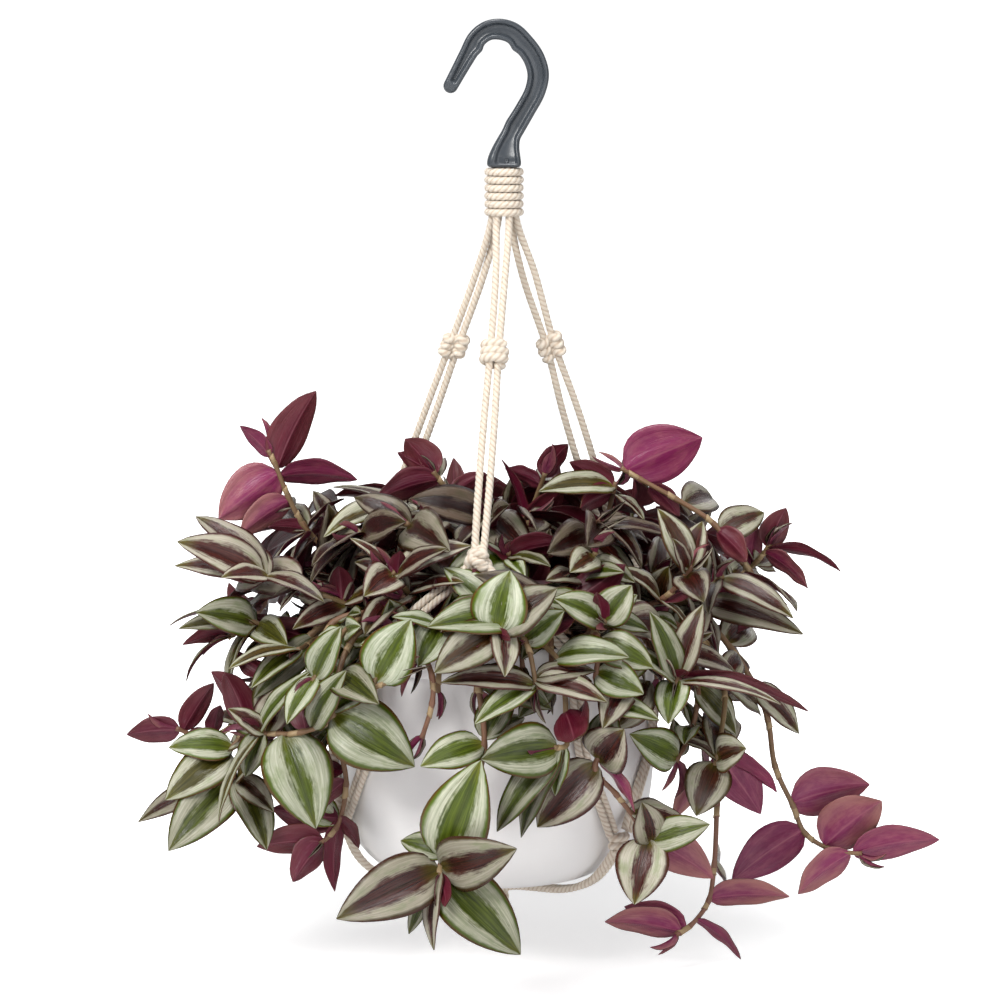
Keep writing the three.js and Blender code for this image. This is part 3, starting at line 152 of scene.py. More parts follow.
class Value:
    """What a node puts out, so that a finish can be written in plain sums."""

    def __init__(self, socket):
        self.socket = socket

    def maths(self, operation, *others):
        node = put(self.socket.id_data, "Math", operation=operation)
        for target, value in zip(node.inputs, (self, *others)):
            feed(value, target)
        return Value(node.outputs[0])

    def __add__(self, other):
        return self.maths("ADD", other)

    def __mul__(self, other):
        return self.maths("MULTIPLY", other)

    def __abs__(self):
        return self.maths("ABSOLUTE")

    def fraction(self):
        return self.maths("FRACT")

    def between(self, low, high):
        """0 at low, 1 at high, and smooth between them."""
        node = put(self.socket.id_data, "MapRange", interpolation_type="SMOOTHSTEP")
        feed(self, node.inputs["Value"])
        feed(low, node.inputs["From Min"])
        feed(high, node.inputs["From Max"])
        return Value(node.outputs["Result"])


def put(tree, kind, **settings):
    node = tree.nodes.new("ShaderNode" + kind)
    for name, value in settings.items():
        setattr(node, name, value)
    return node


def feed(source, target):
    if isinstance(source, Value):
        target.id_data.links.new(source.socket, target)
    else:
        target.default_value = source


def srgb(red, green, blue):
    def linear(value):
        value /= 255
        return value / 12.92 if value <= 0.04045 else ((value + 0.055) / 1.055) ** 2.4
    return (linear(red), linear(green), linear(blue), 1)


def blended(share, first, second, how="MIX"):
    tree = next(value.socket.id_data for value in (share, first) if isinstance(value, Value))
    node = put(tree, "Mix", data_type="RGBA", blend_type=how)
    feed(share, node.inputs["Factor"])
    feed(first, node.inputs["A"])
    feed(second, node.inputs["B"])
    return Value(node.outputs["Result"])


def lumps(tree, place, detail, roughness, scale=1.0):
    """Noise at a place that is given by its three values."""
    vector = put(tree, "CombineXYZ")
    for value, target in zip(place, vector.inputs):
        feed(value, target)
    node = put(tree, "TexNoise")
    feed(Value(vector.outputs[0]), node.inputs["Vector"])
    node.inputs["Scale"].default_value = scale
    node.inputs["Detail"].default_value = detail
    node.inputs["Roughness"].default_value = roughness
    return Value(node.outputs["Fac"])


def object_place(tree):
    return Value(put(tree, "TexCoord").outputs["Object"])


def parts_of(tree, kind, source):
    """The three values that a node of this kind splits its source into."""
    split = put(tree, kind)
    feed(source, split.inputs[0])
    return [Value(socket) for socket in split.outputs]


def new_group(name, inputs, outputs):
    """A group of float sockets. Gives the group, its input values by name, and its output sockets."""
    group = bpy.data.node_groups.new(name, "ShaderNodeTree")
    for label, value in inputs.items():
        socket = group.interface.new_socket(label, in_out="INPUT", socket_type="NodeSocketFloat")
        socket.default_value = value
    for label in outputs:
        group.interface.new_socket(label, in_out="OUTPUT", socket_type="NodeSocketFloat")
    start = group.nodes.new("NodeGroupInput")
    given = {label: Value(start.outputs[label]) for label in inputs}
    return group, given, group.nodes.new("NodeGroupOutput").inputs


def lengthwise_streaks():
    """Fine parallel lines that run from a leaf's base to its tip, and broader patches along them."""
    inputs = {"Along": 0.0, "Across": 0.0, "Seed": 0.0, "Fineness": 30.0}
    group, given, end = new_group("lengthwise streaks", inputs, ["Lines", "Patches"])
    along, across, shift = given["Along"], given["Across"], given["Seed"] * 37.0
    feed(lumps(group, (along * 2.2, across * given["Fineness"], shift), 3.0, 0.6), end["Lines"])
    feed(lumps(group, (along * 5.0, across * 7.0, shift), 3.0, 0.65), end["Patches"])
    return group


def fine_grain():
    """Broad soft variation and fine speckle over any surface, by its own place in space."""
    inputs = {"Broad scale": 12.0, "Fine scale": 900.0}
    group, given, end = new_group("fine grain", inputs, ["Broad", "Fine"])
    place = object_place(group)
    for label in ("Broad", "Fine"):
        texture = put(group, "TexNoise")
        feed(place, texture.inputs["Vector"])
        feed(given[label + " scale"], texture.inputs["Scale"])
        texture.inputs["Detail"].default_value = 4.0
        feed(Value(texture.outputs["Fac"]), end[label])
    return group


def place_group(tree, group, **values):
    node = put(tree, "Group", node_tree=group)
    for name, value in values.items():
        feed(value, node.inputs[name.replace("_", " ").capitalize()])
    return [Value(socket) for socket in node.outputs]


def new_finish(name, **settings):
    """A material, its node tree, and its surface's sockets, with plain values for some of them."""
    material = bpy.data.materials.new(name)
    material.use_nodes = True
    tree = material.node_tree
    surface = tree.nodes["Principled BSDF"].inputs
    for label, value in settings.items():
        surface[label.replace("_", " ")].default_value = value
    return material, tree, surface


def raised(surface, height, distance):
    bump = put(height.socket.id_data, "Bump")
    bump.inputs["Distance"].default_value = distance
    bump.inputs["Strength"].default_value = 1.0
    feed(height, bump.inputs["Height"])
    feed(Value(bump.outputs["Normal"]), surface["Normal"])


def own_place(tree):
    """A piece's own coordinates: along and around or across, both from 0 to 1."""
    return parts_of(tree, "SeparateXYZ", Value(put(tree, "UVMap", uv_map="place").outputs["UV"]))[:2]


def own_tone(tree):
    """Values that one leaf, stem or cord keeps: its kind, its lightness and its seed."""
    tone = put(tree, "Attribute", attribute_name="tone")
    return parts_of(tree, "SeparateColor", Value(tone.outputs["Color"]))


# Camera, light and floor

def new_object(name, data):
    thing = bpy.data.objects.new(name, data)
    bpy.context.collection.objects.link(thing)
    return thing


def stand_camera():
    tilt = math.radians(VIEW_TILT)
    data = bpy.data.cameras.new("view")
    data.lens = VIEW_LENS
    data.clip_end = 20
    camera = new_object("view", data)
    height = VIEW_CENTRE_Z + VIEW_DISTANCE * math.sin(tilt)
    camera.location = (0, -VIEW_DISTANCE * math.cos(tilt) * MM, height * MM)
    camera.rotation_euler = (math.pi / 2 - tilt, 0, 0)
    bpy.context.scene.camera = camera


def soft_light(name, place, size, power, tint=(1, 1, 1)):
    data = bpy.data.lights.new(name, "AREA")
    data.size = size
    data.energy = power
    data.color = tint
    light = new_object(name, data)
    light.location = place
    aim = Vector((0, 0, VIEW_CENTRE_Z * MM)) - Vector(place)
    light.rotation_euler = aim.to_track_quat("-Z", "Y").to_euler()


def seen_by_camera(tree):
    return Value(put(tree, "LightPath").outputs["Is Camera Ray"])


def light_studio():
    world = bpy.data.worlds.new("studio")
    world.use_nodes = True
    background = world.node_tree.nodes["Background"]
    background.inputs["Color"].default_value = (1, 1, 1, 1)
    # The wall is seen pure white, and lights the plant a little less
    glow = seen_by_camera(world.node_tree) * (WALL_SEEN - WALL_LIGHT) + WALL_LIGHT
    feed(glow, background.inputs["Strength"])
    bpy.context.scene.world = world
    bpy.context.scene.view_settings.view_transform = "Standard"
    soft_light("key", (-0.95, -1.4, 0.95), 0.7, 32, (1, 0.99, 0.97))
    soft_light("top", (-0.2, -0.4, 1.6), 0.6, 18)
    soft_light("fill", (0.9, -1.5, 0.1), 1.6, 14)
    soft_light("back", (0.3, 1.5, 0.9), 2.0, 15)


def make_floor():
    material, tree, surface = new_finish("pale floor", Roughness=0.9, Base_Color=(0.86, 0.86, 0.87, 1),
                                         Specular_IOR_Level=0.1, Emission_Color=(1, 1, 1, 1))
    # The floor glows for the camera alone, a painted brightening that rises from just outside the shadow, so
    # that the floor runs into the white wall without an edge
    gap = put(tree, "VectorMath", operation="DISTANCE")
    feed(object_place(tree), gap.inputs[0])
    gap.inputs[1].default_value = (0, SHADOW_Y * MM, FLOOR_Z * MM)
    away = Value(gap.outputs["Value"]).between(SHADOW_INNER * MM, SHADOW_OUTER * MM)
    feed((away * 0.75 + 0.4) * seen_by_camera(tree), surface["Emission Strength"])
    mesh = bpy.data.meshes.new("floor")
    corners = [(x, y, FLOOR_Z * MM) for x, y in ((-6, -6), (6, -6), (6, 6), (-6, 6))]
    mesh.from_pydata(corners, [], [(0, 1, 2, 3)])
    mesh.materials.append(material)
    floor = new_object("floor", mesh)


# Finishes

def hook_plastic(grain):
    material, tree, surface = new_finish("dark grey plastic")
    broad, fine = place_group(tree, grain, Broad_scale=35.0, Fine_scale=1400.0)
    feed(blended(broad.between(0.3, 0.7), srgb(54, 59, 65), srgb(66, 71, 77)), surface["Base Color"])
    feed(fine * 0.06 + 0.27, surface["Roughness"])
    raised(surface, fine, 0.00001)
    return material


def cord_cotton(grain):
    material, tree, surface = new_finish("cream cotton", Roughness=0.92, Sheen_Weight=0.25,
                                         Sheen_Roughness=0.6)
    along, around = own_place(tree)
    seed = own_tone(tree)[2]
    # Fibres lie across the plies, the other way from the twist of the cord
    fibres = lumps(tree, (around * 18.0 + along * 7.0, along * 3.0, seed * 19.0), 4.0, 0.7, 2.4)
    broad, fine = place_group(tree, grain, Broad_scale=60.0, Fine_scale=2600.0)
    # The grooves between the three plies are darker than their crowns, as painted shade
    groove = abs((around * 3.0).fraction() * 2.0 + -1.0)
    colour = blended(groove.between(0.1, 0.6), srgb(212, 192, 170), srgb(236, 224, 208))
    colour = blended(fibres.between(0.5, 0.72) * 0.22, colour, srgb(220, 203, 182))
    colour = blended(broad.between(0.45, 0.75) * 0.25, colour, srgb(229, 215, 196))
    feed(colour, surface["Base Color"])
    raised(surface, fibres * 0.7 + fine * 0.3, 0.0006)
    return material


def pot_plastic(grain):
    material, tree, surface = new_finish("pale grey plastic")
    broad, fine = place_group(tree, grain, Broad_scale=9.0, Fine_scale=1100.0)
    colour = blended(broad.between(0.3, 0.75), srgb(240, 239, 238), srgb(248, 247, 246))
    # The pot is darker in patches where the wall turns under
    height = parts_of(tree, "SeparateXYZ", object_place(tree))[2]
    low = height.between((POT_BOTTOM + DARKENED_HEIGHT) * MM, POT_BOTTOM * MM)
    lower_darkening = low * (broad.between(0.45, 0.7) * 0.16)
    feed(blended(lower_darkening, colour, srgb(188, 180, 170)), surface["Base Color"])
    feed(broad * 0.16 + 0.3, surface["Roughness"])
    raised(surface, fine, 0.00007)
    return material


def dark_soil(grain):
    material, tree, surface = new_finish("dark soil", Roughness=1.0)
    broad, fine = place_group(tree, grain, Broad_scale=260.0, Fine_scale=1500.0)
    colour = blended(broad.between(0.35, 0.65), srgb(30, 22, 17), srgb(66, 50, 38))
    feed(blended(fine.between(0.62, 0.72), colour, srgb(110, 92, 74)), surface["Base Color"])
    raised(surface, broad + fine, 0.0012)
    return material


def leaf_upper(streaks, grain):
    """Two ragged silver bands on green or purple-brown, with a thin dark edge line."""
    material, tree, surface = new_finish("striped leaf", Specular_IOR_Level=0.38)
    along, across = own_place(tree)
    kind, light, seed = own_tone(tree)
    lines, patches = place_group(tree, streaks, Along=along, Across=across, Seed=seed, Fineness=34.0)
    fine = place_group(tree, grain, Broad_scale=150.0, Fine_scale=2400.0)[1]
    from_rib = abs(across * 2.0 + -1.0)
    from_middle = abs(along * 2.0 + -1.0)
    ragged = (patches + -0.5) * 0.62 + (lines + -0.5) * 0.3
    # Each leaf's middle stripe has its own width, and is broader on purple leaves
    own_share = kind * -0.1 + (seed * 7.3).fraction() * 0.2 + -0.1
    inner = from_rib + ragged + own_share
    # The bands reach further out on purple leaves, and leave green ones a broad margin
    outer = kind * -0.05 + ragged * 0.2 + from_rib
    silver_mask = inner.between(0.21, 0.47) * outer.between(0.88, 0.74)
    fine_lines = lines.between(0.25, 0.75)
    green = blended(fine_lines, srgb(50, 64, 8), srgb(100, 118, 34))
    brown = blended(fine_lines, srgb(42, 10, 10), srgb(90, 42, 34))
    centre = blended(kind.between(0.35, 0.75), green, brown)
    # Towards the base and the tip the middle turns to a greenish tan
    centre = blended(from_middle.between(0.5, 0.95) * 0.6, centre, srgb(112, 112, 38))
    rib_colour = blended(kind, srgb(52, 66, 14), srgb(34, 10, 14))
    centre = blended((patches * 0.2 + from_rib).between(0.22, 0.1) * 0.5, centre, rib_colour)
    silver = blended(fine_lines, srgb(146, 158, 130), srgb(211, 218, 198))
    silver = blended(kind * 0.5, silver, srgb(176, 154, 148))
    silver = blended(patches.between(0.45, 0.75) * 0.55, silver, srgb(124, 146, 92))
    margin = blended(kind.between(0.35, 0.9), srgb(80, 102, 18), srgb(76, 38, 26))
    edge = blended(kind, srgb(96, 62, 24), srgb(66, 20, 20))
    colour = blended(outer.between(0.74, 0.84), centre, margin)
    colour = blended(silver_mask, colour, silver)
    colour = blended(from_rib.between(0.89, 0.96) * 0.9, colour, edge)
    # Each leaf's lightness differs at random, and is lower on the leaves of the inner mass as painted shade
    lightness_and_shade = blended(light, srgb(116, 93, 81), srgb(255, 252, 249))
    feed(blended(1.0, colour, lightness_and_shade, "MULTIPLY"), surface["Base Color"])
    feed(silver_mask * 0.06 + 0.22, surface["Roughness"])
    raised(surface, lines * 0.8 + fine * 0.15, 0.0005)
    return material


def leaf_under(streaks):
    """Deep maroon, or magenta on leaves with a higher seed, turning tan towards the edge and the tip."""
    material, tree, surface = new_finish("maroon underside", Roughness=0.32, Specular_IOR_Level=0.36)
    along, across = own_place(tree)
    _kind, light, seed = own_tone(tree)
    lines, patches = place_group(tree, streaks, Along=along, Across=across, Seed=seed, Fineness=30.0)
    from_rib = abs(across * 2.0 + -1.0)
    # Lightness darkens the leaves of the inner mass as painted shade. The paler magenta is partly the
    # leaves' own tone and partly painted light through backlit leaves
    pale = seed.between(0.3, 0.75)
    deep_tone = blended(light, srgb(48, 3, 14), srgb(90, 10, 36))
    pale_tone = blended(light, srgb(88, 15, 50), srgb(124, 30, 80))
    colour = blended(pale, deep_tone, pale_tone)
    patch_tone = blended(pale, srgb(90, 20, 38), srgb(142, 68, 90))
    colour = blended(patches.between(0.38, 0.7) * 0.55, colour, patch_tone)
    colour = blended(lines.between(0.5, 0.75) * 0.11, colour, srgb(186, 118, 140))
    # Tan creeps in from the edge and from the tip
    reach = patches * 0.5 + from_rib * 0.6 + along * 0.5
    own_tan = (seed * 5.7).fraction() * (pale * 0.75 + 0.25)
    colour = blended(reach.between(0.4, 1.15) * own_tan, colour, srgb(154, 104, 96))
    colour = blended(from_rib.between(0.07, 0.0) * 0.4, colour, srgb(160, 96, 108))
    feed(colour, surface["Base Color"])
    raised(surface, lines, 0.0003)
    return material


def stem_skin(streaks):
    """Olive-tan to reddish, with reddish streaks and papery sheaths."""
    material, tree, surface = new_finish("stem skin", Roughness=0.5)
    along, around = own_place(tree)
    kind, light, seed = own_tone(tree)
    lines, patches = place_group(tree, streaks, Along=along, Across=around, Seed=seed, Fineness=16.0)
    green = blended(patches, srgb(92, 86, 46), srgb(142, 126, 82))
    red = blended(patches, srgb(88, 48, 40), srgb(136, 92, 74))
    colour = blended(kind, green, red)
    colour = blended(lines.between(0.45, 0.7) * 0.35, colour, srgb(126, 72, 66))
    # A sheath is marked by a lightness above one half
    feed(blended(light.between(0.5, 0.9), colour, srgb(156, 132, 98)), surface["Base Color"])
    raised(surface, lines, 0.0003)
    return material


# Meshes

# The kind, lightness and seed of a surface that needs none of them
PLAIN = (0, 0.5, 0)


class Shape:
    """The points, faces and values of one piece, gathered before its mesh is made."""

    def __init__(self):
        self.points = []
        self.tones = []
        self.faces = {3: [], 4: []}
        self.places = {3: [], 4: []}
        self.finishes = {3: [], 4: []}
        self.count = 0

    def add_points(self, points, tone):
        first = self.count
        self.points.append(points)
        self.tones.append(np.broadcast_to(np.asarray(tone, float), (len(points), 3)))
        self.count += len(points)
        return first

    def add_faces(self, faces, places, finishes):
        sides = faces.shape[1]
        self.faces[sides].append(faces)
        self.places[sides].append(places)
        self.finishes[sides].append(np.broadcast_to(finishes, (len(faces),)))

    def tube(self, rings, places=None, tone=PLAIN, finishes=0, ends=None):
        """Rings of points joined in turn, with each end run to a point. places has one more column than
        the rings, and finishes gives each column's finish."""
        rings = np.asarray(rings)
        rows, sides = rings.shape[:2]
        if places is None:
            places = grid_places(rows, sides + 1)
        first = self.add_points(rings.reshape(-1, 3), tone)
        column_finishes = np.broadcast_to(finishes, (sides,))
        inside_out = tube_volume(rings) < 0
        grid = np.meshgrid(np.arange(rows - 1), np.arange(sides), indexing="ij")
        i, j = (index.ravel() for index in grid)
        beside = (j + 1) % sides
        low, high = i * sides, (i + 1) * sides
        faces = np.stack([low + j, low + beside, high + beside, high + j], 1)
        spots = np.stack([places[i, j], places[i, j + 1], places[i + 1, j + 1], places[i + 1, j]], 1)
        if inside_out:
            faces, spots = faces[:, ::-1], spots[:, ::-1]
        self.add_faces(faces + first, spots, column_finishes[j])
        tips = ends if ends is not None else (rings[0].mean(0), rings[-1].mean(0))
        for row, tip, turned in ((0, tips[0], True), (rows - 1, tips[1], False)):
            centre = self.add_points(np.asarray(tip, float)[None], tone)
            k = np.arange(sides)
            edge = first + row * sides + k
            following = first + row * sides + (k + 1) % sides
            fan = np.stack([edge, following, np.full(sides, centre)], 1)
            middle = (places[row, k] + places[row, k + 1]) / 2
            fan_spots = np.stack([places[row, k], places[row, k + 1], middle], 1)
            if turned != inside_out:
                fan, fan_spots = fan[:, ::-1], fan_spots[:, ::-1]
            self.add_faces(fan, fan_spots, column_finishes)


def tube_volume(rings):
    centre = rings.mean((0, 1))
    low, high = rings[:-1] - centre, rings[1:] - centre
    beside = np.roll(low, -1, 1)
    return float(np.einsum("ijk,ijk->", low, np.cross(beside, high)))


def make_mesh(name, shape):
    points = np.concatenate(shape.points) * MM
    mesh = bpy.data.meshes.new(name)
    mesh.vertices.add(len(points))
    mesh.vertices.foreach_set("co", points.ravel())
    kinds = [sides for sides in (3, 4) if shape.faces[sides]]
    faces = [np.concatenate(shape.faces[sides]) for sides in kinds]
    corners = np.concatenate([part.ravel() for part in faces])
    counts = np.concatenate([np.full(len(part), sides) for sides, part in zip(kinds, faces)])
    mesh.loops.add(len(corners))
    mesh.loops.foreach_set("vertex_index", corners.astype(np.int32))
    mesh.polygons.add(len(counts))
    starts = np.concatenate([[0], np.cumsum(counts)[:-1]])
    mesh.polygons.foreach_set("loop_start", starts.astype(np.int32))
    finishes = np.concatenate([np.concatenate(shape.finishes[sides]) for sides in kinds])
    mesh.polygons.foreach_set("material_index", finishes.astype(np.int32))
    mesh.polygons.foreach_set("use_smooth", np.ones(len(counts), bool))
    places = np.concatenate([np.concatenate(shape.places[sides]).reshape(-1, 2) for sides in kinds])
    mesh.uv_layers.new(name="place").data.foreach_set("uv", places.ravel())
    tones = np.ones((len(points), 4))
    tones[:, :3] = np.concatenate(shape.tones)
    mesh.color_attributes.new("tone", "FLOAT_COLOR", "POINT").data.foreach_set("color", tones.ravel())
    mesh.update(calc_edges=True)
    mesh.validate()
    return mesh


def make_piece(name, shape, finishes, nodes, crease=None):
    mesh = make_mesh(name, shape)
    for finish in finishes:
        mesh.materials.append(finish)
    if crease is not None:
        mesh.set_sharp_from_angle(angle=math.radians(crease))
    piece = new_object(name, mesh)
    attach(piece, "root")
    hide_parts(*nodes)
    return piece


def grid_places(rows, columns, along=1.0, around=1.0):
    u, v = np.meshgrid(np.linspace(0, along, rows), np.linspace(0, around, columns), indexing="ij")
    return np.stack([u, v], 2)


def unit(direction):
    return direction / np.linalg.norm(direction)


def directions(route):
    along = np.gradient(route, axis=0)
    return along / np.linalg.norm(along, axis=1)[:, None]


def distances(route):
    """How far along a route each of its points is."""
    return np.concatenate([[0], np.cumsum(np.linalg.norm(np.diff(route, axis=0), axis=1))])


def full_turn(sides):
    return np.linspace(0, 2 * math.pi, sides, endpoint=False)


def polar(azimuth, radius, z, centre_x=POT_X):
    turn = math.radians(azimuth)
    return np.array((centre_x + math.cos(turn) * radius, math.sin(turn) * radius, z), float)


CURVE_STEPS = 12


def smooth_route(points, step):
    """An even curve through given points, cut into equal steps."""
    points = [np.asarray(point, float) for point in points]
    padded = [2 * points[0] - points[1], *points, 2 * points[-1] - points[-2]]
    fine = []
    for a, b, c, d in zip(padded, padded[1:], padded[2:], padded[3:]):
        spans = [max(1e-6, np.linalg.norm(q - p)) ** 0.5 for p, q in ((a, b), (b, c), (c, d))]
        knots = np.cumsum([0, *spans])
        for share in np.linspace(0, 1, CURVE_STEPS, endpoint=False):
            t = knots[1] + share * (knots[2] - knots[1])
            level = [((knots[i + 1] - t) * p + (t - knots[i]) * q) / (knots[i + 1] - knots[i])
                     for i, (p, q) in enumerate(((a, b), (b, c), (c, d)))]
            higher = [((knots[i + 2] - t) * p + (t - knots[i]) * q) / (knots[i + 2] - knots[i])
                      for i, (p, q) in enumerate(zip(level, level[1:]))]
            fine.append(((knots[2] - t) * higher[0] + (t - knots[1]) * higher[1]) / (knots[2] - knots[1]))
    fine.append(points[-1])
    fine = np.array(fine)
    travelled = distances(fine)
    marks = np.linspace(0, travelled[-1], max(3, round(travelled[-1] / step) + 1))
    return np.stack([np.interp(marks, travelled, column) for column in fine.T], 1)


def carried_frames(route, hint):
    """At each point of a route, two directions across it that turn as little as can be."""
    along = directions(route)
    across = np.empty_like(along)
    current = np.asarray(hint, float)
    for i, direction in enumerate(along):
        current = unit(current - direction * current.dot(direction))
        across[i] = current
    return across, np.cross(along, across)
